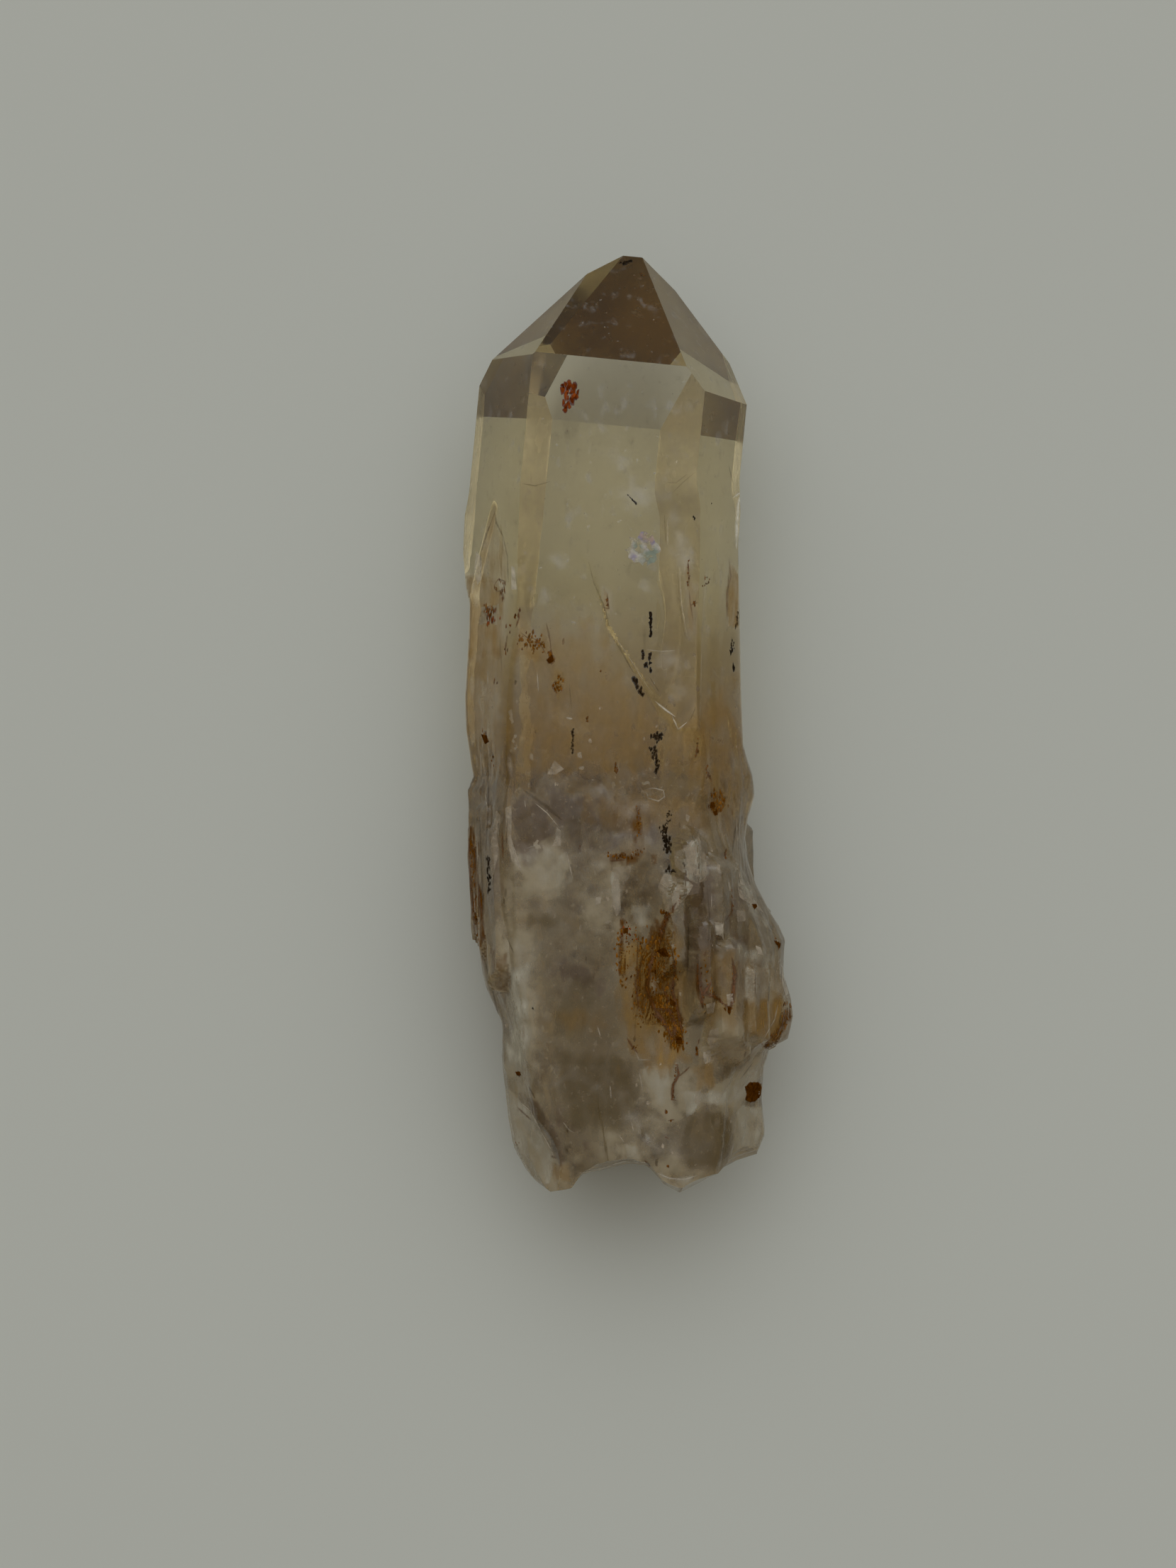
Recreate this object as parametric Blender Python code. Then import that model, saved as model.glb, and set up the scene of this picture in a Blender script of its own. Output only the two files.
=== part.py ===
"""A natural citrine crystal: one clear quartz point on an etched, milky root, with small crystals grown
onto its right side and a broken base. It lies on one of its six prism faces, tip towards +Y. Values are in
millimetres."""

import math

import bmesh
import bpy
import numpy as np
from mathutils import Vector, noise

MM = 0.001

# Driving dimensions. MIDDLE_X is the middle of the crystal's width, under which the origin goes.
TIP_Y = 45.1
BASE_Y = -45.1
MIDDLE_X = 0.24
LEAN = math.radians(5.53)
RHOMB_ANGLE = math.radians(51.79)
GLASSY_FROM_Y = 24.0

# How finely the side is divided: points round it, each face's share of them, and the distance between rows
COLUMNS = 62
FACE_SHARES = (0.12, 0.21, 0.12, 0.19, 0.14, 0.22)
ROW_STEP = 1.2
ROWS_BEYOND = 4.0

# The six edges of the prism as stations (y, x, z) from the tip down: the front right one, and on round to
# the right
FRONT_RIGHT = [(31.0, 7.3, 21.3), (22.8, 6.9, 21.3), (14, 6.9, 21.2), (2, 6.8, 20.9), (-8, 7.6, 20.4),
               (-16, 9.6, 20.6), (-22, 10.8, 20.4), (-29, 10.4, 19.6), (-35, 8.8, 18.6), (-47, 8.4, 17.6)]
RIGHT = [
    (30.6, 11.2, 13.8), (22.8, 11.35, 13.8), (21.6, 11.1, 13.7), (17, 10.8, 13.6), (13, 10.9, 13.5),
    (4, 11.1, 13.2), (-2, 11.3, 13.0), (-4.9, 12.2, 12.8), (-6.9, 12.3, 12.7), (-9, 11.8, 12.5),
    (-11, 11.5, 12.4), (-13.7, 11.9, 12.3), (-15.8, 12.7, 12.2), (-18.1, 13.9, 12.1), (-19.5, 14.8, 12.0),
    (-20.8, 15.4, 11.9), (-24, 15.2, 11.8), (-26.4, 15.9, 11.6), (-28.4, 16.15, 11.4), (-30.4, 15.7, 11.3),
    (-31.4, 13.9, 11.2), (-33.2, 13.4, 11.1), (-36.5, 13.25, 11.0), (-39.7, 13.6, 10.8), (-42, 12.8, 10.5),
    (-47, 11.0, 10.5),
]
BACK_RIGHT = [
    (28.9, 3.5, 0), (15, 3.4, 0), (0, 3.8, 0), (-14, 5.4, 0), (-26, 8.2, 0), (-36, 7.0, 0), (-47, 5.0, 0),
]
BACK_LEFT = [(29.9, -7.1, 0), (15, -8.5, 0), (0, -9.2, 0), (-16, -9.4, 0), (-32, -7.4, 0), (-47, -5.6, 0)]
LEFT = [
    (32.5, -14.1, 12.5), (23, -15.0, 12.5), (20, -15.5, 12.5), (16.5, -15.65, 12.4), (13.3, -15.4, 12.3),
    (11.5, -15.0, 12.3), (7, -15.2, 12.2), (2.5, -15.5, 12.1), (-0.5, -15.4, 12.0), (-3.5, -14.95, 12.0),
    (-5.1, -14.75, 12.0), (-6.3, -15.2, 12.0), (-9.3, -15.2, 11.9), (-12.8, -15.35, 11.8),
    (-15.6, -15.0, 11.7), (-18.3, -14.75, 11.6), (-20.8, -14.25, 11.4), (-24.2, -13.8, 11.2),
    (-25.6, -13.4, 11.1), (-27, -12.6, 11.0), (-28.8, -11.9, 11.0), (-32.1, -12.0, 10.9),
    (-35.2, -11.65, 10.8), (-38, -11.4, 10.6), (-41, -10.8, 10.4), (-43.5, -9.4, 10.2), (-47, -6.0, 10.0),
]
FRONT_LEFT = [(34.5, -8.8, 21.3), (22.8, -9.9, 21.3), (14, -10.4, 21.2), (2, -11.3, 21.0), (-8, -11.8, 20.8),
              (-18, -11.8, 20.6), (-27, -10.6, 19.8), (-35, -9.4, 18.8), (-47, -7.2, 16.5)]
EDGES = (FRONT_RIGHT, RIGHT, BACK_RIGHT, BACK_LEFT, LEFT, FRONT_LEFT)
RIGHT_INDEX, BACK_FACE, LEFT_INDEX = 1, 2, 4

# Where the six termination faces would meet the crystal's axis, measured along it from AXIS_POINT. The
# first belongs to the front prism face, and the rest go round to the right. The worn facet cuts off the
# very tip.
AXIS_POINT = (-4.84, -5.68, 10.64)
TERMINATION_HEIGHTS = (53.3, 53.85, 54.1, 48.7, 50.2, 54.9)
WORN_FACET_HEIGHT = 50.85
WORN_FACET_TILT = 0.35

# The edges wear rounder from WEAR_FROM_Y down to WEAR_TO_Y. A lower power is a rounder edge.
WEAR_FROM_Y = 23.0
WEAR_TO_Y = -2.0
WEAR_POWER = 16.0

# Glossy top layer of the front face: its lower left rim as (y, x), which ends in a point, and its right rim
LAYER_RIM = [(15.5, -4.4), (14.5, -3.3), (8.9, -1.7), (5.4, 0.6), (2.4, 2.6), (1.1, 3.4), (-0.7, 4.9)]
LAYER_RIGHT_X = 6.9
LAYER_RIGHT_SLOPE = 0.04
LAYER_STEP = 0.4
FRONT_FACE_Z = (17.5, 19.5)

# Wedge-shaped hollow in the left face: its apex, how fast its two sides spread, and where the tongue beside
# it ends
WEDGE_APEX = (-12.45, 21.5)
WEDGE_SPREAD = (0.25, 0.17)
TONGUE_END_Y = 12.4
WEDGE_DEPTH = 0.45

# The rust-stained valley in the front face: its middle, how it slants, its half width, its ends and its depth
VALLEY_MIDDLE = (2.3, -20.0)
VALLEY_SLANT = 0.17
VALLEY_WIDTH = 1.7
VALLEY_ENDS_Y = (-31.0, -15.0)
VALLEY_DEPTH = 1.2

# Height of the etched surface's waves, growth layers and furrows, and their size across and along the crystal
WAVES = (0.55, 7.0, 11.0)
LAYERS = (0.75, 4.0, 10.0)
LAYER_LEVELS = 4
FURROWS = (0.22, 1.7, 6.5)

# Small crystals grown alongside, which lean a little less: x and z of the axis, half width, y of the apex
# and of the lower end
SIDE_LEAN = math.radians(-1.2)
SIDE_ROUGHNESS = 0.4
SIDE_CRYSTALS = [
    (5.9, 19.6, 1.9, -8.6, -18), (4.7, 19.3, 1.7, -13.2, -24), (8.0, 18.6, 2.2, -10.5, -22),
    (9.8, 16.4, 2.0, -13.5, -24), (7.2, 19.7, 1.7, -16.5, -28), (9.4, 19.0, 1.9, -18.3, -31),
    (11.6, 15.2, 2.0, -16.3, -27), (11.4, 17.2, 1.8, -20.8, -31), (12.4, 12.6, 2.1, -17.2, -30),
    (13.2, 12.8, 2.0, -22.5, -29.6), (9.8, 19.2, 1.6, -23.5, -31), (11.8, 9.4, 2.2, -15.0, -30),
    (-13.5, 13.4, 1.5, -4.0, -18.5), (-12.9, 15.9, 1.3, -6.2, -21.5), (-12.1, 18.0, 1.3, -8.4, -24.5),
    (-13.5, 10.2, 1.6, -7.6, -20.5), (-11.4, 7.6, 2.0, 1.5, -26), (-9.6, 4.8, 2.2, -9.0, -34),
    (9.6, 6.4, 2.6, -6.5, -33), (7.4, 3.6, 2.2, -15.5, -36),
]

# Chips broken off the surface: centre and radius of the ball that each one follows
CHIPS = [
    ((14.9, 18.6, 16.2), 4.6), ((7.2, -39.0, 22.1), 5.0), ((-13.2, -43.2, 20.8), 7.9),
    ((15.2, -34.2, 18.0), 4.6), ((-15.6, -34.6, 17.6), 5.2), ((-8.9, -7.0, 26.4), 6.4),
    ((13.8, -45.2, 4.4), 6.0), ((-12.8, -45.8, 3.2), 6.6), ((0.8, -47.4, 22.4), 6.2),
    ((-2.6, -9.4, 29.4), 9.0),
]

# The broken base: how far down it reaches in its middle and at the table, as (x, y) from left to right, how
# fast it falls back above its middle, its ripples, and its shell-shaped hollows as x, z, radius and depth
BREAK_OUTLINE = [
    (-13, -39.5), (-11.1, -40.6), (-9.4, -43.6), (-7.2, -45.2), (-5.2, -44.8), (-4.2, -43.6), (0.2, -42.6),
    (2.1, -42.7), (3.7, -44.5), (5.2, -45.3), (7.2, -44.3), (10.7, -42.3), (12.8, -41.6), (15, -40.0),
]
BREAK_FOOT = [(-13, -37.8), (-9, -40.6), (-5.5, -43.2), (-1.5, -42.2), (2.5, -41.8), (6, -43.4), (10, -40.4),
              (15, -37.5)]
BREAK_MIDDLE_Z = 10.0
BREAK_FALL = 0.016
RIPPLE = 0.7
RIPPLE_WIDTH = 4.2
BREAK_HOLLOWS = [(-0.6, 15.5, 4.6, 0.9), (6.8, 7.2, 5.0, 1.7), (-6.4, 9.0, 4.4, 1.3), (11.2, 14.4, 3.6, 1.1)]
BREAK_CELLS = (30, 22)
BREAK_HALF_SIZE = (19.0, 14.0)

FAR = 1000.0
CITRINE = (0.62, 0.50, 0.30, 1.0)
QUARTZ_IOR = 1.544


def place(point):
    """A point in millimetres as Blender's metres, measured from the origin."""
    return (Vector(point) - Vector((MIDDLE_X, 0, 0))) * MM


def ramp(value, low, high):
    """0 below low, 1 above high, smooth between."""
    t = np.clip((value - low) / (high - low), 0, 1)
    return t * t * (3 - 2 * t)


def edge_at(y, edge):
    """The x and z of an edge at each y, running straight along the crystal's axis above its first station."""
    ys, xs, zs = np.array(edge[::-1]).T
    above = np.maximum(y - edge[0][0], 0)
    return np.interp(y, ys, xs) + above * math.tan(LEAN), np.interp(y, ys, zs)


def drawn_out_noise(points, across, along, seed):
    """Smooth noise drawn out along the crystal, from about -1 to 1."""
    stretched = points / np.array([across, along, across]) + 7.3 * seed
    return np.array([noise.noise(Vector(p)) for p in stretched])


def terraces(value):
    """The same value as flat levels with steep steps between them, as growth layers make."""
    steps = value * LAYER_LEVELS
    level = np.floor(steps)
    return (level + ramp(steps - level, 0.32, 0.68)) / LAYER_LEVELS


def six_directions(lean):
    """A crystal's axis for its lean, and the outward directions of its prism faces from the front one."""
    along = np.array([math.sin(lean), math.cos(lean), 0])
    side = np.array([math.cos(lean), -math.sin(lean), 0])
    turns = [k * math.pi / 3 for k in range(6)]
    return along, [math.cos(turn) * np.array([0, 0, 1]) + math.sin(turn) * side for turn in turns]


def tip_normal(along, outwards):
    """The normal of the termination face above a prism face."""
    return math.cos(RHOMB_ANGLE) * along + math.sin(RHOMB_ANGLE) * outwards


def termination_planes():
    """Outward normal and distance of each face that ends the crystal: the tip's six and the worn facet."""
    along, directions = six_directions(LEAN)
    planes = []
    for outwards, height in zip(directions, TERMINATION_HEIGHTS):
        normal = tip_normal(along, outwards)
        planes.append((normal, normal @ AXIS_POINT + height * math.cos(RHOMB_ANGLE)))
    worn = along + WORN_FACET_TILT * directions[0]
    worn /= np.linalg.norm(worn)
    planes.append((worn, worn @ AXIS_POINT + WORN_FACET_HEIGHT))
    return planes


def side_crystal_planes(x, z, half_width, apex_y, end_y):
    """A small six-sided crystal: its prism faces, every second one wider, its tip and its slanted foot."""
    along, directions = six_directions(SIDE_LEAN)
    apex = np.array([x, apex_y, z])
    planes = []
    for k, outwards in enumerate(directions):
        wider = 1.12 if k % 2 == 0 else 0.88
        tip = tip_normal(along, outwards)
        planes.append((outwards, outwards @ apex + half_width * wider))
        planes.append((tip, tip @ apex - 0.25 * half_width * (k % 2)))
    foot = directions[0] - 1.14 * along
    foot /= np.linalg.norm(foot)
    planes.append((foot, foot @ np.array([x, end_y, z])))
    return planes


def reach_of_planes(centre, out, planes):
    """How far a ray from centre along out goes before it leaves the convex solid, or 0 where it misses it."""
    leave = np.full(len(centre), FAR)
    enter = np.full(len(centre), -FAR)
    for normal, distance in planes:
        facing = out @ normal
        facing = np.where(np.abs(facing) < 1e-9, 1e-9, facing)
        hit = (distance - centre @ normal) / facing
        leave = np.where(facing > 0, np.minimum(leave, hit), leave)
        enter = np.where(facing < 0, np.maximum(enter, hit), enter)
    return np.where(leave > enter, leave, 0)


def reach_before_ball(centre, out, ball, radius):
    """How far a ray goes before it enters a ball, or FAR where it misses it."""
    offset = centre - np.array(ball)
    towards = (offset * out).sum(1)
    inside = towards ** 2 - (offset ** 2).sum(1) + radius ** 2
    return np.where((inside > 0) & (towards < 0), -towards - np.sqrt(np.maximum(inside, 0)), FAR)


def glossy_layer(x, y):
    """1 where the front face has lost its glossy top layer, 0 on it."""
    ys, xs = np.array(LAYER_RIM[::-1]).T
    left = ramp(np.interp(y, ys, xs) - x, -0.12, 0.12)
    below = ramp(ys[0] - y, -0.15, 0.15)
    right = ramp(x - LAYER_RIGHT_X - LAYER_RIGHT_SLOPE * y, -0.2, 0.3)
    return np.maximum(np.maximum(left, below), right) * ramp(-y, -17, -9)


def left_hollow(x, y, z):
    """1 in the wedge-shaped hollow of the left face and below its tongue, 0 beside them."""
    apex_x, apex_y = WEDGE_APEX
    drop = apex_y - y
    wedge = ramp(x - apex_x + drop * WEDGE_SPREAD[0], -0.15, 0.15)
    wedge *= ramp(apex_x + drop * WEDGE_SPREAD[1] - x, -0.15, 0.15) * ramp(drop, 0, 1)
    below_tongue = ramp(TONGUE_END_Y - y, -0.3, 0.3) * ramp(-10.2 - x, -0.2, 0.4)
    return np.maximum(wedge, below_tongue) * ramp(z, 12.6, 14.5) * (x < 0)


def valley(x, y):
    """1 along the middle of the rust-stained valley, falling to 0 beside it and past its ends."""
    middle = VALLEY_MIDDLE[0] - VALLEY_SLANT * (y - VALLEY_MIDDLE[1])
    low, high = VALLEY_ENDS_Y
    ends = ramp(y, low - 3, low + 3) * ramp(-y, -high - 3, 3 - high)
    return np.exp(-((x - middle) / VALLEY_WIDTH) ** 2) * ends


def etching(points):
    """How far the surface stands where layers and hollows were dissolved out of the flat faces."""
    x, y, z = points.T
    front = ramp(z, *FRONT_FACE_Z)
    taken = LAYER_STEP * front * glossy_layer(x, y) + VALLEY_DEPTH * front * valley(x, y)
    return -taken - WEDGE_DEPTH * (1 - front) * left_hollow(x, y, z)


def roughness(points, left_x, right_x):
    """Waves, growth layers and furrows of the etched surface, fading at the edges that give the outline."""
    x, y, z = points.T
    amount = 0.3 * ramp(-y, -21, -8) + 0.7 * ramp(-y, -2, 9)
    waves = WAVES[0] * drawn_out_noise(points, *WAVES[1:], 1)
    layers = LAYERS[0] * (terraces(0.5 + 0.5 * drawn_out_noise(points, *LAYERS[1:], 2)) - 0.5)
    furrows = FURROWS[0] * drawn_out_noise(points, *FURROWS[1:], 3)
    inside = ramp(np.minimum(x - left_x, right_x - x), 0.1, 1.6)
    return amount * (waves + layers + furrows) * (0.15 + 0.85 * inside)


def worn_reach(corners, middle, out):
    """How far a ray from the middle goes before it leaves a section whose upper edges are rounded."""
    powers = np.zeros(len(out))
    for k in range(6):
        if k == BACK_FACE:
            continue
        here, there = corners[k].T, corners[(k + 1) % 6].T
        run = there - here
        normal = np.stack([-run[:, 1], run[:, 0]], 1) / np.hypot(*run.T)[:, None]
        distance = ((here - middle) * normal).sum(1)
        powers += np.maximum((out * normal).sum(1) / distance, 0) ** WEAR_POWER
    # The left and right edges keep their full reach, because the outline is measured to them
    kept = 1 + (2 ** (1 / WEAR_POWER) - 1) * np.abs(out[:, 0]) ** 6
    return kept * powers ** (-1 / WEAR_POWER)


def side_points(columns, rows_y):
    """The surface of the crystal's side: a row of points for each y, round from the front right edge."""
    share = np.round(np.array(FACE_SHARES) * columns).astype(int)
    face = np.tile(np.repeat(np.arange(6), share), len(rows_y))
    fraction = np.tile(np.concatenate([np.arange(n) / n for n in share]), len(rows_y))
    y = np.repeat(rows_y, share.sum())
    corners = np.array([edge_at(y, edge) for edge in EDGES])
    middle = corners.mean(0).T
    index = np.arange(len(y))
    start, end = corners[face, :, index], corners[(face + 1) % 6, :, index]
    out = start + (end - start) * fraction[:, None] - middle
    flat_reach = np.hypot(*out.T)
    out = out / flat_reach[:, None]
    wear = ramp(-y, -WEAR_FROM_Y, -WEAR_TO_Y)
    reach = flat_reach + (worn_reach(corners, middle, out) - flat_reach) * wear
    centre = np.stack([middle[:, 0], y, middle[:, 1]], 1)
    ray = np.stack([out[:, 0], 0 * y, out[:, 1]], 1)
    points = centre + ray * reach[:, None]
    rough = roughness(points, corners[LEFT_INDEX, 0], corners[RIGHT_INDEX, 0])
    reach = reach + np.where(y < GLASSY_FROM_Y, etching(points) + rough, 0)
    for crystal in SIDE_CRYSTALS:
        beside = reach_of_planes(centre, ray, side_crystal_planes(*crystal))
        reach = np.maximum(reach, beside + SIDE_ROUGHNESS * rough * (beside > 0))
    for ball, radius in CHIPS:
        reach = np.minimum(reach, reach_before_ball(centre, ray, ball, radius))
    down = np.maximum(-out[:, 1], 1e-6)
    reach = np.minimum(reach, np.where(down > 0.05, middle[:, 1] / down, FAR))
    return (centre + ray * reach[:, None]).reshape(len(rows_y), -1, 3)


def fill_openings(bm):
    bmesh.ops.holes_fill(bm, edges=[e for e in bm.edges if e.is_boundary], sides=0)


def mesh_from(bm, name):
    bmesh.ops.recalc_face_normals(bm, faces=bm.faces)
    mesh = bpy.data.meshes.new(name)
    bm.to_mesh(mesh)
    bm.free()
    return mesh


def crystal_mesh():
    """The side as a rolled-up grid, closed at both ends and then cut by the faces of the tip."""
    rows_y = np.arange(BASE_Y - ROWS_BEYOND / 2, GLASSY_FROM_Y, ROW_STEP)
    rows_y = np.append(rows_y, [GLASSY_FROM_Y, TIP_Y + ROWS_BEYOND])
    points = side_points(COLUMNS, rows_y)
    rows, columns = points.shape[:2]
    bm = bmesh.new()
    bmesh.ops.create_grid(bm, x_segments=columns, y_segments=rows - 1, size=1)
    for vert in bm.verts:
        column = round((vert.co.x + 1) / 2 * columns) % columns
        row = round((vert.co.y + 1) / 2 * (rows - 1))
        vert.co = place(points[row, column])
    bmesh.ops.remove_doubles(bm, verts=bm.verts, dist=1e-6)
    fill_openings(bm)
    bmesh.ops.recalc_face_normals(bm, faces=bm.faces)
    for normal, distance in termination_planes():
        everything = bm.verts[:] + bm.edges[:] + bm.faces[:]
        bmesh.ops.bisect_plane(bm, geom=everything, dist=1e-7, plane_co=place(normal * distance),
                               plane_no=Vector(normal), clear_outer=True)
        fill_openings(bm)
    tip = {v for v in bm.verts if v.co.y > (GLASSY_FROM_Y + 0.01) * MM}
    tip_edges = [e for e in bm.edges if tip.issuperset(e.verts)]
    bmesh.ops.dissolve_limit(bm, angle_limit=math.radians(0.2), verts=list(tip), edges=tip_edges)
    return mesh_from(bm, "citrine_crystal")


def break_mesh():
    """A block whose upper side is the curved, rippled surface along which the crystal broke off."""
    bm = bmesh.new()
    bmesh.ops.create_grid(bm, x_segments=BREAK_CELLS[0], y_segments=BREAK_CELLS[1], size=1)
    xs, ys = np.array(BREAK_OUTLINE).T
    foot_xs, foot_ys = np.array(BREAK_FOOT).T
    for vert in bm.verts:
        x = BREAK_HALF_SIZE[0] * vert.co.x
        z = BREAK_MIDDLE_Z + 1 + BREAK_HALF_SIZE[1] * vert.co.y
        height = z - BREAK_MIDDLE_Z
        low = ramp(-height, 0, BREAK_MIDDLE_Z)
        ripple = RIPPLE * noise.noise(Vector((x, z, 3.1)) / RIPPLE_WIDTH)
        upper = np.interp(x, xs, ys) + BREAK_FALL * height ** 2
        y = (1 - low) * upper + low * np.interp(x, foot_xs, foot_ys) + ripple * ramp(abs(height), 1, 5)
        for hollow_x, hollow_z, radius, depth in BREAK_HOLLOWS:
            y += depth * max(0, 1 - ((x - hollow_x) ** 2 + (z - hollow_z) ** 2) / radius ** 2)
        vert.co = place((x, y, z))
    block = bmesh.ops.extrude_face_region(bm, geom=bm.faces[:])
    for item in block["geom"]:
        if isinstance(item, bmesh.types.BMVert):
            item.co.y = (BASE_Y - 3 * ROWS_BEYOND) * MM
    return mesh_from(bm, "base_break")


def citrine_material():
    material = bpy.data.materials.new("citrine")
    material.use_nodes = True
    surface = material.node_tree.nodes["Principled BSDF"]
    surface.inputs["Base Color"].default_value = CITRINE
    surface.inputs["Roughness"].default_value = 0.08
    surface.inputs["Metallic"].default_value = 0.0
    surface.inputs["IOR"].default_value = QUARTZ_IOR
    surface.inputs["Transmission Weight"].default_value = 0.85
    return material


def collection(name):
    made = bpy.data.collections.new(name)
    bpy.context.scene.collection.children.link(made)
    return made


def main():
    for obj in list(bpy.data.objects):
        bpy.data.objects.remove(obj, do_unlink=True)
    crystal = bpy.data.objects.new("citrine_crystal", crystal_mesh())
    crystal.data.materials.append(citrine_material())
    collection("citrine_crystal").objects.link(crystal)
    base_break = bpy.data.objects.new("base_break", break_mesh())
    base_break.hide_render = True
    base_break.display_type = "WIRE"
    collection("cutters").objects.link(base_break)
    cut = crystal.modifiers.new("break off the base", "BOOLEAN")
    cut.operation = "DIFFERENCE"
    cut.object = base_break


main()
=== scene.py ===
"""A natural citrine crystal lying on one prism face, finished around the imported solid: its fine surface, its
clear and milky quartz, its inclusions and stains. Lists of places are in millimetres."""

import math
import random

import bmesh
import bpy
import numpy as np
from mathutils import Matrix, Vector, noise
from mathutils.bvhtree import BVHTree


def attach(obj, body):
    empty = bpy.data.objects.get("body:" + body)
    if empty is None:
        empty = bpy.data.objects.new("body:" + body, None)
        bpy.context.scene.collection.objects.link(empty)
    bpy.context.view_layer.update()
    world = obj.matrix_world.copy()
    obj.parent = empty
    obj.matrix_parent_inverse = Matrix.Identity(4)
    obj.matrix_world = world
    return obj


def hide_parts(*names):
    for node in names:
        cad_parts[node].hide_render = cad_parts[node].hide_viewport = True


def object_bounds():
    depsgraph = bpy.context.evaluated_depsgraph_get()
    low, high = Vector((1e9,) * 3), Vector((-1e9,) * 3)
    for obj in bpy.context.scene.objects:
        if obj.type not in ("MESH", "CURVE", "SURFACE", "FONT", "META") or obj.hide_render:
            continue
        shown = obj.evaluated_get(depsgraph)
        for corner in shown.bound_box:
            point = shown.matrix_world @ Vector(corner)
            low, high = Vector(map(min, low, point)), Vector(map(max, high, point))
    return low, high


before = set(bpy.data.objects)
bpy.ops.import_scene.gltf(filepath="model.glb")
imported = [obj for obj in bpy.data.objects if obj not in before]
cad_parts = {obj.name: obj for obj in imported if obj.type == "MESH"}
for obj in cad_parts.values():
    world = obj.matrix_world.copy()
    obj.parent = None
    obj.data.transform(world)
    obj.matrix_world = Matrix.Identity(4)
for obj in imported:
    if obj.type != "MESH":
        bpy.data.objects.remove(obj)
solid_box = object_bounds()

# The six prism faces and the tip: quartz grew here in flat faces 60 degrees apart, with six slanted faces
# above them at 51.79 degrees to the axis. They are still sharp and glossy, and only the very tip is worn.
MM = 0.001
MIDDLE_X = 0.24
TIP_Y = 45.1
FLAT_FROM_Y = 23.6
GLASSY_FROM_Y = 28.4
LEAN = math.radians(5.53)
RHOMB_ANGLE = math.radians(51.79)
AXIS_POINT = (-4.84, -5.68, 10.64)
PRISM_DISTANCES = (10.64, 12.73, 9.58, 10.64, 10.24, 12.08)
TERMINATION_HEIGHTS = (53.3, 53.85, 54.1, 48.7, 50.2, 54.9)
WORN_FACET_HEIGHT = 50.85
WORN_FACET_TILT = 0.35
FAR = 1000.0
TINY = 1e-9


def place(point):
    """A point in millimetres as metres in the part's frame."""
    return (Vector(point) - Vector((MIDDLE_X, 0, 0))) * MM


def six_directions(lean):
    """A crystal's axis for its lean, and the outward directions of its prism faces from the front one."""
    along = np.array([math.sin(lean), math.cos(lean), 0])
    side = np.array([math.cos(lean), -math.sin(lean), 0])
    turns = [k * math.pi / 3 for k in range(6)]
    return along, [math.cos(turn) * np.array([0, 0, 1]) + math.sin(turn) * side for turn in turns]


def tip_normal(along, outwards):
    """The outward normal of the slanted tip face above the prism face that looks this way."""
    return math.cos(RHOMB_ANGLE) * along + math.sin(RHOMB_ANGLE) * outwards


def prism_planes():
    """Outward normal and distance of each prism face, from the front one round to the right."""
    directions = six_directions(LEAN)[1]
    return [(outwards, outwards @ AXIS_POINT + d) for outwards, d in zip(directions, PRISM_DISTANCES)]


def termination_planes():
    """Outward normal and distance of each face that ends the crystal: the tip's six and the worn facet."""
    along, directions = six_directions(LEAN)
    planes = []
    for outwards, height in zip(directions, TERMINATION_HEIGHTS):
        normal = tip_normal(along, outwards)
        planes.append((normal, normal @ AXIS_POINT + height * math.cos(RHOMB_ANGLE)))
    worn = along + WORN_FACET_TILT * directions[0]
    worn /= np.linalg.norm(worn)
    planes.append((worn, worn @ AXIS_POINT + WORN_FACET_HEIGHT))
    return planes


def reach_of_planes(centre, out, planes):
    """How far a ray from centre along out goes before it leaves the convex solid, or 0 where it misses it."""
    leave = np.full(len(centre), FAR)
    enter = np.full(len(centre), -FAR)
    for normal, distance in planes:
        facing = out @ normal
        facing = np.where(np.abs(facing) < TINY, TINY, facing)
        hit = (distance - centre @ normal) / facing
        leave = np.where(facing > 0, np.minimum(leave, hit), leave)
        enter = np.where(facing < 0, np.maximum(enter, hit), enter)
    return np.where(leave > enter, leave, 0)


# The etched stem: below the tip the same six faces were dissolved into a wavy surface. Each of the six edges
# is a list of stations (y, x, z) from the tip down, from the front right edge on round to the right.
FRONT_RIGHT = [(31.0, 7.3, 21.3), (22.8, 6.9, 21.3), (14, 6.9, 21.2), (2, 6.8, 20.9), (-8, 7.6, 20.4),
               (-16, 9.6, 20.6), (-22, 10.8, 20.4), (-29, 10.4, 19.6), (-35, 8.8, 18.6), (-47, 8.4, 17.6)]
RIGHT = [
    (30.6, 11.2, 13.8), (22.8, 11.35, 13.8), (21.6, 11.1, 13.7), (17, 10.8, 13.6), (13, 10.9, 13.5),
    (4, 11.1, 13.2), (-2, 11.3, 13.0), (-4.9, 12.2, 12.8), (-6.9, 12.3, 12.7), (-9, 11.8, 12.5),
    (-11, 11.5, 12.4), (-13.7, 11.9, 12.3), (-15.8, 12.7, 12.2), (-18.1, 13.9, 12.1), (-19.5, 14.8, 12.0),
    (-20.8, 15.4, 11.9), (-24, 15.2, 11.8), (-26.4, 15.9, 11.6), (-28.4, 16.15, 11.4), (-30.4, 15.7, 11.3),
    (-31.4, 13.9, 11.2), (-33.2, 13.4, 11.1), (-36.5, 13.25, 11.0), (-39.7, 13.6, 10.8), (-42, 12.8, 10.5),
    (-47, 11.0, 10.5),
]
BACK_RIGHT = [
    (28.9, 3.5, 0), (15, 3.4, 0), (0, 3.8, 0), (-14, 5.4, 0), (-26, 8.2, 0), (-36, 7.0, 0), (-47, 5.0, 0),
]
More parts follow.
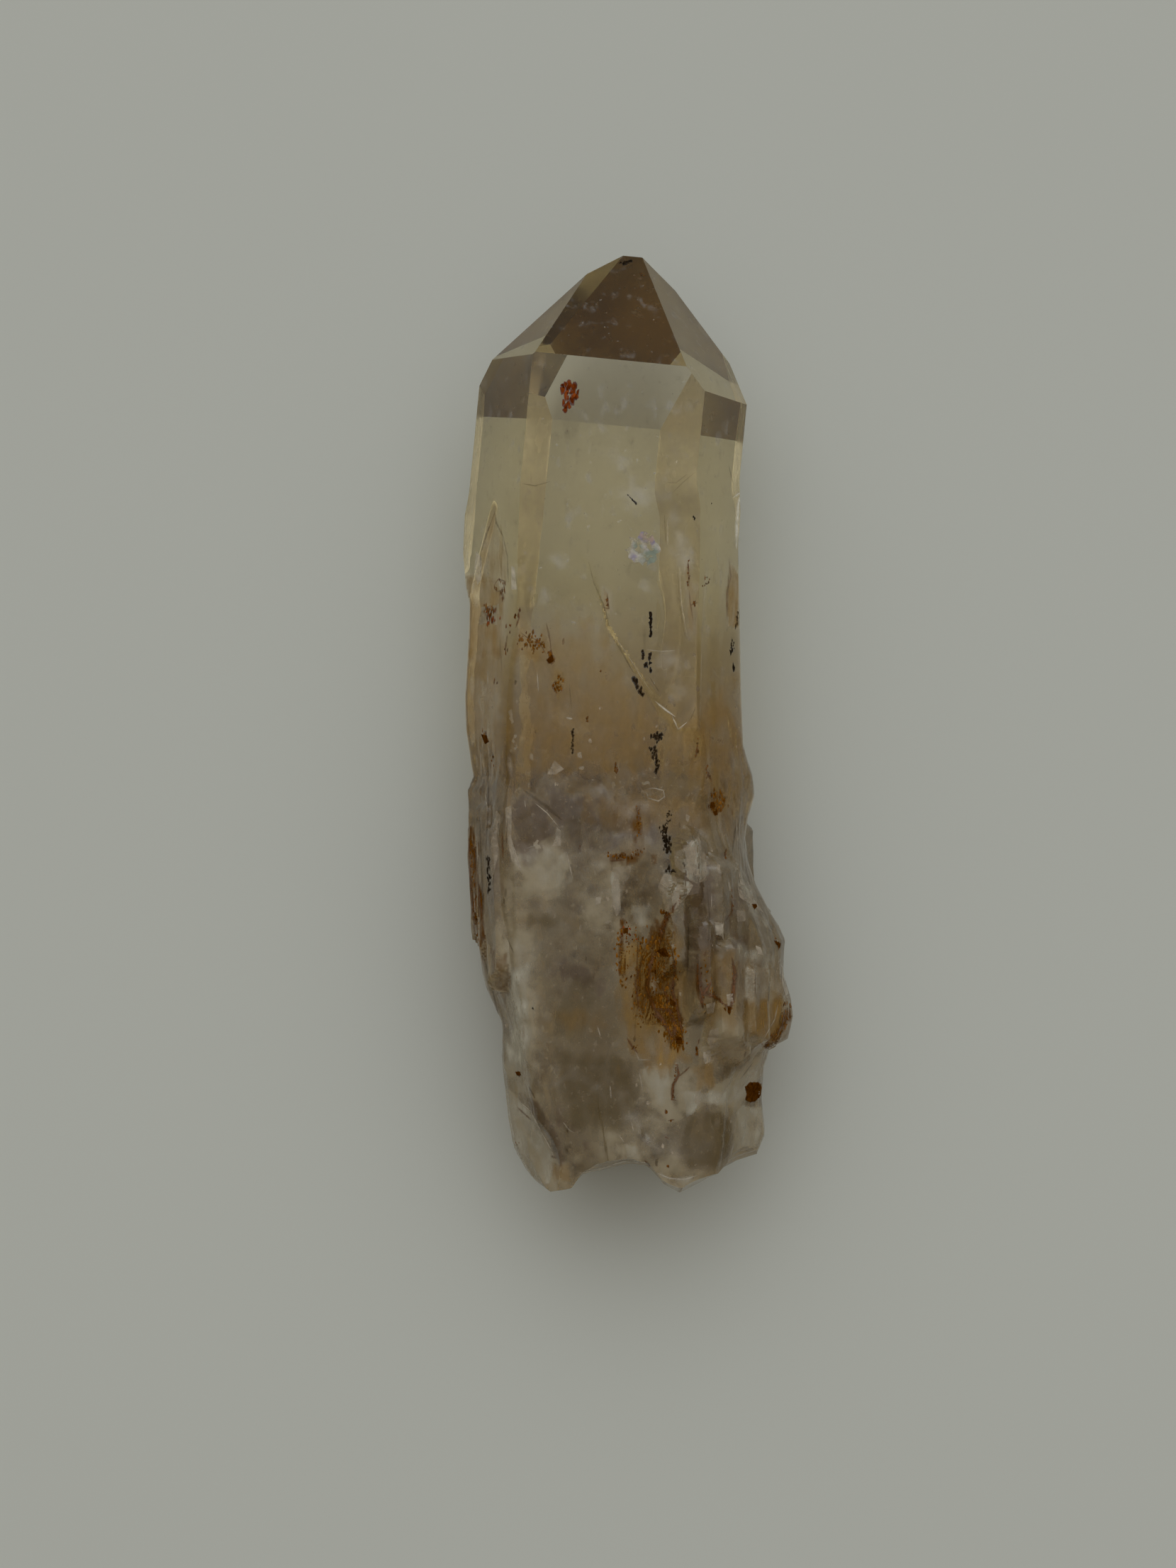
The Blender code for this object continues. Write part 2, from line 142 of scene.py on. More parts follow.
BACK_LEFT = [(29.9, -7.1, 0), (15, -8.5, 0), (0, -9.2, 0), (-16, -9.4, 0), (-32, -7.4, 0), (-47, -5.6, 0)]
LEFT = [
    (32.5, -14.1, 12.5), (23, -15.0, 12.5), (20, -15.5, 12.5), (16.5, -15.65, 12.4), (13.3, -15.4, 12.3),
    (11.5, -15.0, 12.3), (7, -15.2, 12.2), (2.5, -15.5, 12.1), (-0.5, -15.4, 12.0), (-3.5, -14.95, 12.0),
    (-5.1, -14.75, 12.0), (-6.3, -15.2, 12.0), (-9.3, -15.2, 11.9), (-12.8, -15.35, 11.8),
    (-15.6, -15.0, 11.7), (-18.3, -14.75, 11.6), (-20.8, -14.25, 11.4), (-24.2, -13.8, 11.2),
    (-25.6, -13.4, 11.1), (-27, -12.6, 11.0), (-28.8, -11.9, 11.0), (-32.1, -12.0, 10.9),
    (-35.2, -11.65, 10.8), (-38, -11.4, 10.6), (-41, -10.8, 10.4), (-43.5, -9.4, 10.2), (-47, -6.0, 10.0),
]
FRONT_LEFT = [(34.5, -8.8, 21.3), (22.8, -9.9, 21.3), (14, -10.4, 21.2), (2, -11.3, 21.0), (-8, -11.8, 20.8),
              (-18, -11.8, 20.6), (-27, -10.6, 19.8), (-35, -9.4, 18.8), (-47, -7.2, 16.5)]
EDGES = (FRONT_RIGHT, RIGHT, BACK_RIGHT, BACK_LEFT, LEFT, FRONT_LEFT)
RIGHT_INDEX, BACK_FACE, LEFT_INDEX = 1, 2, 4
WEAR_FROM_Y = 23.0
WEAR_TO_Y = -2.0
WEAR_POWER = 16.0
OUTLINE_POWER = 6
FLAT_BLEND = 3.6


def edge_at(y, edge):
    """The x and z of an edge at each y, running straight along the crystal's axis above its first station."""
    ys, xs, zs = np.array(edge[::-1]).T
    above = np.maximum(y - edge[0][0], 0)
    return np.interp(y, ys, xs) + above * math.tan(LEAN), np.interp(y, ys, zs)


def exact_edge(y, k):
    """The x and z at each y of the sharp edge between a prism face and the next one round."""
    (first, first_distance), (second, second_distance) = prism_planes()[k], prism_planes()[(k + 1) % 6]
    facing = np.array([[first[0], first[2]], [second[0], second[2]]])
    return np.linalg.solve(facing, np.array([first_distance - first[1] * y, second_distance - second[1] * y]))


def worn_reach(corners, middle, out):
    """How far a ray from the middle goes before it leaves a section whose upper edges are rounded."""
    powers = np.zeros(len(out))
    for k in range(6):
        if k == BACK_FACE:
            continue
        here, there = corners[k].T, corners[(k + 1) % 6].T
        run = there - here
        normal = np.stack([-run[:, 1], run[:, 0]], 1) / np.hypot(*run.T)[:, None]
        distance = ((here - middle) * normal).sum(1)
        powers += np.maximum((out * normal).sum(1) / distance, 0) ** WEAR_POWER
    # The left and right edges keep their full reach, because the outline is measured to them
    kept = 1 + (2 ** (1 / WEAR_POWER) - 1) * np.abs(out[:, 0]) ** OUTLINE_POWER
    return kept * powers ** (-1 / WEAR_POWER)


# The etched relief: the glossy top layer on the front ends in a point, and a wedge-shaped hollow with a
# rounded tongue is etched into the left face. Growth layers, furrows, pits and a valley cover the rest.
LAYER_RIM = [(15.5, -4.4), (14.5, -3.3), (8.9, -1.7), (5.4, 0.6), (2.4, 2.6), (1.1, 3.4), (-0.7, 4.9)]
LAYER_RIGHT_X = 6.9
LAYER_RIGHT_SLOPE = 0.04
LAYER_STEP = 0.4
LAYER_LEFT_EDGE = 0.12
LAYER_RIGHT_EDGE = (-0.2, 0.3)
LAYER_FADES_Y = (17, 9)
FRONT_FACE_Z = (17.5, 19.5)
STEEP_EDGE = 0.15
WEDGE_APEX = (-12.45, 21.5)
WEDGE_SPREAD = (0.25, 0.17)
WEDGE_STARTS = (0, 1)
WEDGE_DEPTH = 0.45
TONGUE_END_Y = 12.4
TONGUE_END_EDGE = 0.3
TONGUE_RIGHT_X = -10.2
TONGUE_RIGHT_EDGE = (-0.6, 1.2)
LEFT_HOLLOW_Z = (12.6, 14.5)
VALLEY_MIDDLE = (2.3, -20.0)
VALLEY_SLANT = 0.17
VALLEY_WIDTH = 1.7
VALLEY_ENDS_Y = (-31.0, -15.0)
VALLEY_FADE = 3
VALLEY_DEPTH = 1.2
SMOOTHER = 0.75
SMOOTH_LEFT_X = (-11.5, -9.5)
SMOOTH_RIGHT_X = (6.5, 4.5)
ROUGHENS_Y = ((0.3, 21, 8), (0.7, 2, -9))
CALM_SHARE = 0.15
CALM_RIM = (0.1, 1.6)
WAVES = (0.55, 7.0, 11.0)
LAYERS = (0.75, 4.0, 10.0)
LAYER_LEVELS = 4
FURROWS = (0.1, 1.7, 6.5)
TERRACE_EDGE = (0.32, 0.68)
FINE_LAYERS = (0.24, 2.1, 4.2)
FINE_LEVELS = 5
FINE_FURROWS = (0.045, 0.7, 3.4)
PITS = (0.16, 0.9, 1.1)
PITS_APART = 0.15
GLOSSY_WAVES = (0.05, 5.0, 12.0)
GLOSSY_WAVES_Y = (22, 12)


def ramp(value, low, high):
    """0 below low, 1 above high, smooth between."""
    t = np.clip((value - low) / (high - low), 0, 1)
    return t * t * (3 - 2 * t)


def ramp_down(value, high, low):
    """0 above high, 1 below low, smooth between."""
    return ramp(-value, -high, -low)


def grows_down(y, steps):
    """An amount that grows towards the root in steps. A step is its share and where it starts and ends."""
    return sum(share * ramp_down(y, start, end) for share, start, end in steps)


def drawn_out_noise(points, across, along, seed):
    """Smooth noise drawn out along the crystal, from about -1 to 1."""
    stretched = points / np.array([across, along, across]) + 7.3 * seed
    return np.array([noise.noise(Vector(p)) for p in stretched])


def terraces(value, levels):
    """The same value as flat levels with steep steps between them, as growth layers make."""
    steps = value * levels
    level = np.floor(steps)
    return (level + ramp(steps - level, *TERRACE_EDGE)) / levels


def glossy_layer(x, y):
    """1 where the front face has lost its glossy top layer, 0 on it."""
    ys, xs = np.array(LAYER_RIM[::-1]).T
    left = ramp(np.interp(y, ys, xs) - x, -LAYER_LEFT_EDGE, LAYER_LEFT_EDGE)
    below = ramp(ys[0] - y, -STEEP_EDGE, STEEP_EDGE)
    right = ramp(x - LAYER_RIGHT_X - LAYER_RIGHT_SLOPE * y, *LAYER_RIGHT_EDGE)
    return np.maximum(np.maximum(left, below), right) * ramp_down(y, *LAYER_FADES_Y)


def left_hollow(x, y, z):
    """1 in the wedge-shaped hollow of the left face and below its tongue, 0 beside them."""
    apex_x, apex_y = WEDGE_APEX
    drop = apex_y - y
    wedge = ramp(x - apex_x + drop * WEDGE_SPREAD[0], -STEEP_EDGE, STEEP_EDGE)
    wedge *= ramp(apex_x + drop * WEDGE_SPREAD[1] - x, -STEEP_EDGE, STEEP_EDGE) * ramp(drop, *WEDGE_STARTS)
    below_tongue = ramp(TONGUE_END_Y - y, -TONGUE_END_EDGE, TONGUE_END_EDGE)
    below_tongue = below_tongue * ramp(TONGUE_RIGHT_X - x, *TONGUE_RIGHT_EDGE)
    return np.maximum(wedge, below_tongue) * ramp(z, *LEFT_HOLLOW_Z) * (x < 0)


def valley(x, y):
    """1 along the middle of the rust-stained valley, falling to 0 beside it and past its ends."""
    middle = VALLEY_MIDDLE[0] - VALLEY_SLANT * (y - VALLEY_MIDDLE[1])
    low, high = VALLEY_ENDS_Y
    starts = ramp(y, low - VALLEY_FADE, low + VALLEY_FADE)
    ends = ramp_down(y, high + VALLEY_FADE, high - VALLEY_FADE)
    return np.exp(-((x - middle) / VALLEY_WIDTH) ** 2) * (starts * ends)


def etching(points):
    """How far the surface stands where layers and hollows were dissolved out of the flat faces."""
    x, y, z = points.T
    front = ramp(z, *FRONT_FACE_Z)
    taken = LAYER_STEP * front * glossy_layer(x, y) + VALLEY_DEPTH * front * valley(x, y)
    return -taken - WEDGE_DEPTH * (1 - front) * left_hollow(x, y, z)


def smooth_middle(x, z):
    """How much weaker the furrows are on the front face, away from the side crystals."""
    return SMOOTHER * ramp(z, *FRONT_FACE_Z) * ramp(x, *SMOOTH_LEFT_X) * ramp_down(x, *SMOOTH_RIGHT_X)


def roughness(points, left_x, right_x):
    """Waves, growth layers and furrows of the etched surface, fading at the edges that give the outline."""
    x, y, z = points.T
    waves = WAVES[0] * drawn_out_noise(points, *WAVES[1:], 1)
    layers = LAYERS[0] * (terraces(0.5 + 0.5 * drawn_out_noise(points, *LAYERS[1:], 2), LAYER_LEVELS) - 0.5)
    furrows = FURROWS[0] * drawn_out_noise(points, *FURROWS[1:], 3) * (1 - smooth_middle(x, z))
    inside = ramp(np.minimum(x - left_x, right_x - x), *CALM_RIM)
    amount = grows_down(y, ROUGHENS_Y)
    return amount * (waves + layers + furrows) * (CALM_SHARE + (1 - CALM_SHARE) * inside)


def fine_roughness(points, etched):
    """Small growth steps, furrows and pits on the etched faces, and faint waves on the glossy ones."""
    x, y, z = points.T
    layers = 0.5 + 0.5 * drawn_out_noise(points, *FINE_LAYERS[1:], 4)
    steps = FINE_LAYERS[0] * (terraces(layers, FINE_LEVELS) - 0.5)
    furrows = FINE_FURROWS[0] * drawn_out_noise(points, *FINE_FURROWS[1:], 5)
    furrows = furrows * (1 - smooth_middle(x, z))
    pits = PITS[0] * np.minimum(drawn_out_noise(points, *PITS[1:], 6) + PITS_APART, 0)
    gentle = GLOSSY_WAVES[0] * drawn_out_noise(points, *GLOSSY_WAVES[1:], 8) * ramp_down(y, *GLOSSY_WAVES_Y)
    return etched * (steps + furrows + pits) + gentle


# Small crystals grew alongside: twelve on the right make the knob there, six on the left its ridges, and two
# lie below. Chips were broken off the surface, and each one follows a ball.
SIDE_LEAN = math.radians(-1.2)
SIDE_ROUGHNESS = 0.4
WIDE_FACE, NARROW_FACE = 1.12, 0.88
LOWER_TIP_FACE = 0.25
FOOT_SLANT = 1.14
LAYER_ETCHED = 0.25
HOLLOW_ETCHED = 0.45
ETCHED_Y = (4, -9)
NEVER_ETCHED_Y = (22, 18)
FACES_FLOOR = 0.05
SIDE_CRYSTALS = [
    (5.9, 19.6, 1.9, -8.6, -18), (4.7, 19.3, 1.7, -13.2, -24), (8.0, 18.6, 2.2, -10.5, -22),
    (9.8, 16.4, 2.0, -13.5, -24), (7.2, 19.7, 1.7, -16.5, -28), (9.4, 19.0, 1.9, -18.3, -31),
    (11.6, 15.2, 2.0, -16.3, -27), (11.4, 17.2, 1.8, -20.8, -31), (12.4, 12.6, 2.1, -17.2, -30),
    (13.2, 12.8, 2.0, -22.5, -29.6), (9.8, 19.2, 1.6, -23.5, -31), (11.8, 9.4, 2.2, -15.0, -30),
    (-13.5, 13.4, 1.5, -4.0, -18.5), (-12.9, 15.9, 1.3, -6.2, -21.5), (-12.1, 18.0, 1.3, -8.4, -24.5),
    (-13.5, 10.2, 1.6, -7.6, -20.5), (-11.4, 7.6, 2.0, 1.5, -26), (-9.6, 4.8, 2.2, -9.0, -34),
    (9.6, 6.4, 2.6, -6.5, -33), (7.4, 3.6, 2.2, -15.5, -36),
]
CHIPS = [
    ((14.9, 18.6, 16.2), 4.6), ((7.2, -39, 33.9), 16), ((-13.2, -43.2, 20.8), 7.9), ((15.2, -34.2, 18), 4.6),
    ((-15.6, -34.6, 17.6), 5.2), ((-8.9, -9.6, 30.1), 9.5), ((13.8, -45.2, 4.4), 6),
    ((-12.8, -45.8, 3.2), 6.6), ((0.8, -47.4, 22.4), 6.2), ((-2.6, -9.4, 29.4), 9),
]


def side_crystal_planes(x, z, half_width, apex_y, end_y):
    """A small six-sided crystal: its prism faces, every second one wider, its tip and its slanted foot."""
    along, directions = six_directions(SIDE_LEAN)
    apex = np.array([x, apex_y, z])
    planes = []
    for k, outwards in enumerate(directions):
        share = WIDE_FACE if k % 2 == 0 else NARROW_FACE
        tip = tip_normal(along, outwards)
        planes.append((outwards, outwards @ apex + half_width * share))
        planes.append((tip, tip @ apex - LOWER_TIP_FACE * half_width * (k % 2)))
    foot = directions[0] - FOOT_SLANT * along
    foot /= np.linalg.norm(foot)
    planes.append((foot, foot @ np.array([x, end_y, z])))
    return planes


def reach_before_ball(centre, out, ball, radius):
    """How far a ray goes before it enters a ball, or FAR where it misses it."""
    offset = centre - np.array(ball)
    towards = (offset * out).sum(1)
    inside = towards ** 2 - (offset ** 2).sum(1) + radius ** 2
    return np.where((inside > 0) & (towards < 0), -towards - np.sqrt(np.maximum(inside, 0)), FAR)


def etched_amount(points):
    """0 where the quartz kept its glossy faces, 1 where it is fully etched."""
    x, y, z = points.T
    front = ramp(z, *FRONT_FACE_Z)
    off_layer = LAYER_ETCHED * front * glossy_layer(x, y)
    hollow = HOLLOW_ETCHED * (1 - front) * left_hollow(x, y, z)
    below = ramp_down(y, *ETCHED_Y) * (1 - LAYER_ETCHED * front)
    return np.clip(np.maximum(off_layer, hollow) + below, 0, 1) * ramp_down(y, *NEVER_ETCHED_Y)


def side_surface(face, fraction, y):
    """Points on the crystal's side, for each the prism face, the share of the way across it, and y."""
    flat = ramp(y, FLAT_FROM_Y - FLAT_BLEND, FLAT_FROM_Y)
    corners = np.array([edge_at(y, edge) for edge in EDGES])
    corners = corners + flat * (np.array([exact_edge(y, k) for k in range(6)]) - corners)
    middle = corners.mean(0).T
    index = np.arange(len(y))
    start, end = corners[face, :, index], corners[(face + 1) % 6, :, index]
    out = start + (end - start) * fraction[:, None] - middle
    flat_reach = np.hypot(*out.T)
    out = out / flat_reach[:, None]
    wear = ramp_down(y, WEAR_FROM_Y, WEAR_TO_Y)
    reach = flat_reach + (worn_reach(corners, middle, out) - flat_reach) * wear
    centre = np.stack([middle[:, 0], y, middle[:, 1]], 1)
    ray = np.stack([out[:, 0], 0 * y, out[:, 1]], 1)
    points = centre + ray * reach[:, None]
    rough = roughness(points, corners[LEFT_INDEX, 0], corners[RIGHT_INDEX, 0])
    reach = reach + (etching(points) + rough) * (1 - flat)
    for crystal in SIDE_CRYSTALS:
        beside = reach_of_planes(centre, ray, side_crystal_planes(*crystal))
        reach = np.maximum(reach, beside + SIDE_ROUGHNESS * rough * (beside > 0))
    reach = reach + fine_roughness(points, etched_amount(points)) * (1 - flat)
    for ball, radius in CHIPS:
        before = reach_before_ball(centre, ray, ball, radius)
        reach = np.where(flat < 1, np.minimum(reach, before), reach)
    # What faces the floor is cut off there, because the crystal lies on its lowest face
    down = np.maximum(-out[:, 1], TINY)
    reach = np.minimum(reach, np.where(down > FACES_FLOOR, middle[:, 1] / down, FAR))
    return centre + ray * reach[:, None]


# The broken base: the crystal snapped off its rock here, along a curved, rippled surface with shell-shaped
# hollows. It is glassy, with fine ripples that run out from where each shell began.
BREAK_OUTLINE = [
    (-13, -39.5), (-11.1, -40.6), (-9.4, -43.6), (-7.2, -45.2), (-5.2, -44.8), (-4.2, -43.6),
    (0.2, -42.6), (2.1, -42.7), (3.7, -44.5), (5.2, -45.3), (7.2, -44.3), (10.7, -42.3), (12.8, -41.6),
    (15, -40.0),
]
BREAK_FOOT = [
    (-13, -37.8), (-9, -40.6), (-5.5, -43.2), (-1.5, -42.2), (2.5, -41.8), (6, -43.4), (10, -40.4),
    (15, -37.5),
]
BREAK_MIDDLE_Z = 10.0
BREAK_FALL = 0.016
RIPPLE = 0.7
RIPPLE_WIDTH = 4.2
RIPPLE_SEED = 3.1
RIPPLES_FROM_Z = (1, 5)
BREAK_HOLLOWS = [(-0.6, 15.5, 4.6, 0.9), (6.8, 7.2, 5.0, 1.7), (-6.4, 9.0, 4.4, 1.3), (11.2, 14.4, 3.6, 1.1)]
SHELL_RIPPLE = 0.07
SHELL_RIPPLE_LENGTH = 0.9
SHELL_MIDDLE = (0.5, 1.5)
FIRST_RIM_Y = -43.0
RIM_STEPS = 14
RIM_STEP = 0.6


def break_y(x, z):
    """How far down the broken surface reaches at each x and z."""
    xs, ys = np.array(BREAK_OUTLINE).T
    foot_xs, foot_ys = np.array(BREAK_FOOT).T
    height = z - BREAK_MIDDLE_Z
    low = ramp(-height, 0, BREAK_MIDDLE_Z)
    upper = np.interp(x, xs, ys) + BREAK_FALL * height ** 2
    y = (1 - low) * upper + low * np.interp(x, foot_xs, foot_ys)
    places = np.stack([x, z, 0 * x + RIPPLE_SEED], 1) / RIPPLE_WIDTH
    ripple = RIPPLE * np.array([noise.noise(Vector(p)) for p in places])
    y = y + ripple * ramp(np.abs(height), *RIPPLES_FROM_Z)
    for hollow_x, hollow_z, radius, depth in BREAK_HOLLOWS:
        away = np.hypot(x - hollow_x, z - hollow_z)
        y = y + depth * np.maximum(0, 1 - (away / radius) ** 2)
        ripples = np.sin(away * 2 * math.pi / SHELL_RIPPLE_LENGTH) * ramp_down(away, radius, 0.5 * radius)
        y = y + SHELL_RIPPLE * ripples * ramp(away, *SHELL_MIDDLE)
    return y


def rim_of_break(face, fraction):
    """Where each line down the side meets the broken surface."""
    y = np.full(len(face), FIRST_RIM_Y)
    for _ in range(RIM_STEPS):
        x, _, z = side_surface(face, fraction, y).T
        y = y + RIM_STEP * (break_y(x, z) - y)
    return y


# The whole crystal: one grid rolled up round it, with rings across the broken base and rows up the side. The
# tip's faces cut its far end, and its edges get the hair-thin bright line that a slightly worn edge has.
FACE_COLUMNS = (62, 44, 36, 44, 62, 92)
SIDE_ROWS = 222
FLAT_ROWS = 5
BASE_RINGS = 30
ROWS_BEYOND = 4.0
EDGE_WEAR = 0.06
EDGE_WEAR_STEPS = 2
EDGE_ROUNDNESS = 0.6
SHARP_FROM = math.radians(32)
TIP_EDGE_FROM = math.radians(15)
ONE_PLANE = math.radians(0.2)
SAME_POINT = 1e-6
ON_PLANE = 1e-7
A_HAIR = 0.01


def grid_points():
    """Every point of the grid, as rows of points round the crystal."""
    face = np.repeat(np.arange(6), FACE_COLUMNS)
    fraction = np.concatenate([np.arange(n) / n for n in FACE_COLUMNS])
    rim_y = rim_of_break(face, fraction)
    share = np.linspace(0, 1, SIDE_ROWS)[:, None]
    y = rim_y + (FLAT_FROM_Y - rim_y) * share
    flat_y = np.linspace(FLAT_FROM_Y, GLASSY_FROM_Y, FLAT_ROWS + 1)[1:]
    flat_y = np.append(flat_y, TIP_Y + ROWS_BEYOND)
    y = np.concatenate([y, np.tile(flat_y[:, None], len(face))])
    side = side_surface(np.tile(face, len(y)), np.tile(fraction, len(y)), y.ravel())
    side[:, 0] = np.minimum(side[:, 0], solid_box[1][0] / MM + MIDDLE_X)
    side = side.reshape(len(y), len(face), 3)
    rim = side[0]
    centre = rim.mean(0)
    rings = []
    for share in np.linspace(0, 1, BASE_RINGS, endpoint=False):
        ring = centre + (rim - centre) * share
        ring[:, 1] = np.maximum(break_y(ring[:, 0], ring[:, 2]), solid_box[0][1] / MM)
        rings.append(ring)
    return np.concatenate([rings, side])


def fill_openings(bm):
    """Closes every open rim of the mesh with a face."""
    bmesh.ops.holes_fill(bm, edges=[e for e in bm.edges if e.is_boundary], sides=0)


def kept_in(point, box):
    """The same point, brought back into a box, given by its lowest and its highest corner."""
    return Vector([min(max(at, low), high) for at, low, high in zip(point, *box)])


def scene_object(name, bm):
    """An object in the scene that has this mesh."""
    mesh = bpy.data.meshes.new(name)
    bm.to_mesh(mesh)
    bm.free()
    made = bpy.data.objects.new(name, mesh)
    bpy.context.scene.collection.objects.link(made)
    return made


def rolled_up_grid():
    """The crystal's base and sides as one mesh, closed flat above the tip."""
    points = grid_points()
    rows, columns = points.shape[:2]
    bm = bmesh.new()
    bmesh.ops.create_grid(bm, x_segments=columns, y_segments=rows - 1, size=1)
    for vert in bm.verts:
        column = round((vert.co.x + 1) / 2 * columns) % columns
        row = round((vert.co.y + 1) / 2 * (rows - 1))
        vert.co = place(points[row, column])
    bmesh.ops.remove_doubles(bm, verts=bm.verts, dist=SAME_POINT)
    for face in bm.faces:
        face.smooth = True
    bmesh.ops.recalc_face_normals(bm, faces=bm.faces)
    fill_openings(bm)
    return bm


def crystal_form():
    """The whole crystal, its tip cut to flat faces with worn edges, and all of it in the solid's box."""
    bm = rolled_up_grid()
    low = (GLASSY_FROM_Y - A_HAIR) * MM
    for normal, distance in termination_planes():
        tip = [v for v in bm.verts if v.co.y > low]
        edges = [e for e in bm.edges if e.verts[0].co.y > low and e.verts[1].co.y > low]
        faces = [f for f in bm.faces if all(v.co.y > low for v in f.verts)]
        bmesh.ops.bisect_plane(bm, geom=tip + edges + faces, dist=ON_PLANE, plane_co=place(normal * distance),
                               plane_no=Vector(normal), clear_outer=True)
        fill_openings(bm)
    tip = {v for v in bm.verts if v.co.y > (GLASSY_FROM_Y + A_HAIR) * MM}
    tip_edges = [e for e in bm.edges if tip.issuperset(e.verts)]
    bmesh.ops.dissolve_limit(bm, angle_limit=ONE_PLANE, verts=list(tip), edges=tip_edges)
    bmesh.ops.recalc_face_normals(bm, faces=bm.faces)
    worn = [e for e in bm.edges if min(v.co.y for v in e.verts) > (FLAT_FROM_Y - A_HAIR) * MM
            and e.is_manifold and e.calc_face_angle() > TIP_EDGE_FROM]
    bmesh.ops.bevel(bm, geom=worn, offset=EDGE_WEAR * MM, segments=EDGE_WEAR_STEPS, profile=EDGE_ROUNDNESS,
                    affect="EDGES", clamp_overlap=True)
    for face in bm.faces:
        if all(v.co.y > low for v in face.verts):
            face.smooth = False
    bmesh.ops.triangulate(bm, faces=[f for f in bm.faces if len(f.verts) > 4])
    for edge in bm.edges:
        edge.smooth = not (edge.is_manifold and edge.calc_face_angle() > SHARP_FROM)
    for vert in bm.verts:
        vert.co = kept_in(vert.co, solid_box)
    return bm


citrine = scene_object("citrine", crystal_form())

# Where the quartz is clouded or stained, as the camera above sees it: milky and mauve zones, clear smoky
# spots in them, iron stains and chalky marks. A mark is its strength, its half width and its points. A patch
# or a stain is its strength, how soft its edge is, and its outline.
CAMERA_XY = (-3.86, -5.8)
CAMERA_Z = 319.8
FRONT_Z = 21.3
SEEN_FROM_Z = (3.0, 7.0)


def seen_from_above(points):
    """The x and y at which the camera above sees each point, at the height of the front face."""
    scale = (CAMERA_Z - FRONT_Z) / (CAMERA_Z - points[:, 2])
    return np.array(CAMERA_XY) + (points[:, :2] - CAMERA_XY) * scale[:, None]


def distance_to_line(places, line):
    """The distance of each place from a line through the given points."""
    nearest = np.full(len(places), FAR)
    line = np.array(line, float)
    for here, there in zip(line, line[1:] if len(line) > 1 else line):
        run = there - here
        along = np.clip(((places - here) @ run) / max(run @ run, TINY), 0, 1)
        nearest = np.minimum(nearest, np.hypot(*(places - here - along[:, None] * run).T))
    return nearest


def soft_marks(places, marks):
    """The strongest of several marks at each place. A mark is its strength, its half width and its points."""
    total = np.zeros(len(places))
    for strength, width, *line in marks:
        total = np.maximum(total, strength * np.exp(-(distance_to_line(places, line) / width) ** 2))
    return total


MILKY = [
    (0.9, 2.6, (-8.8, -12), (-8.2, -14.5)), (0.8, 1.8, (-10.1, -25), (-10.2, -32)),
    (0.2, 2, (-9.2, -16), (-9.8, -24)), (0.75, 1.5, (-9.6, -29.2), (-9.4, -35.5)),
    (0.8, 3.2, (-9.2, -40.5), (-7.2, -42)), (0.6, 2, (-2.4, -39.5), (1.5, -40.5)),
    (0.7, 2.6, (9.8, -36.5), (11.8, -40)), (0.75, 1.8, (5.2, -34), (7.4, -35)),
    (0.6, 2.4, (1.2, -33.5), (2.4, -38)), (0.6, 2.5, (-1.5, -14.5), (-2.5, -18)),
    (0.55, 2.4, (8.8, -29), (12, -31.5)), (0.3, 1.6, (-6, -14), (-5.4, -16)),
    (0.5, 1.6, (12.8, -22), (12.6, -28)), (0.5, 3, (3, -41.5), (5.5, -43)),
    (0.25, 2.2, (-0.5, 23.5), (1.5, 21)), (0.35, 1.2, (4.6, 19), (5.4, 15)),
    (0.35, 1.4, (-7.2, 14.5), (-8, 11)), (0.4, 0.9, (-5.4, 10.8), (-4.6, 10.2)),
    (0.35, 1.2, (3.6, 7), (4.4, 3)), (0.4, 0.8, (-10.9, 15), (-10.8, 12.4)), (0.35, 1, (1, 12.8), (3, 12)),
    (0.4, 1, (-12.8, 3), (-13, 0.5)), (0.4, 1, (-6.2, 0), (-3, -1)),
]
MAUVE = [
    (0.9, 3, (-6.5, -8.5), (-1.5, -9.5)), (0.8, 2.2, (-9.6, -8.6), (-9.8, -11.2)),
    (0.9, 2, (6.6, -14.5), (7.2, -24)), (0.7, 2.4, (9.8, -17), (11.4, -24)),
    (0.7, 1.8, (-3.6, -24.8), (-6.2, -23)), (0.6, 1.6, (-13, -6), (-12.8, -16)),
    (0.6, 2, (1.5, -9.5), (4.4, -11.5)), (0.5, 2.2, (9.6, -4.5), (9.8, -11)),
    (0.5, 1.2, (-7.6, -36.5), (-3.4, -40.2)),
]
SMOKY = [
    (0.9, 3.2, (-2.6, -27.5), (-3.6, -35.5)), (0.85, 2.5, (6.9, -39)), (0.6, 1.6, (-9.1, -9.4)),
    (0.5, 1.2, (-8.4, -18.4), (-5.6, -18.9)),
]
RUSTY = [
    (0.75, 0.9, (2.9, -20.4), (2.6, -22), (3, -24.6)), (0.6, 1.2, (1, -22), (1.4, -26)),
    (0.8, 0.9, (3, -26.4), (4.2, -28.4), (4.5, -30)), (0.6, 0.9, (1.6, -25.6), (3.2, -27.6)),
    (0.6, 0.4, (4.6, -16.8), (3.6, -18), (3.2, -19.4)), (0.5, 0.6, (8.4, -7), (8, -8.2)),
    (0.5, 0.5, (14.9, -27), (14.2, -29.2), (12.8, -30.4)), (0.5, 0.3, (-0.8, -19.4), (-0.9, -23.6)),
]
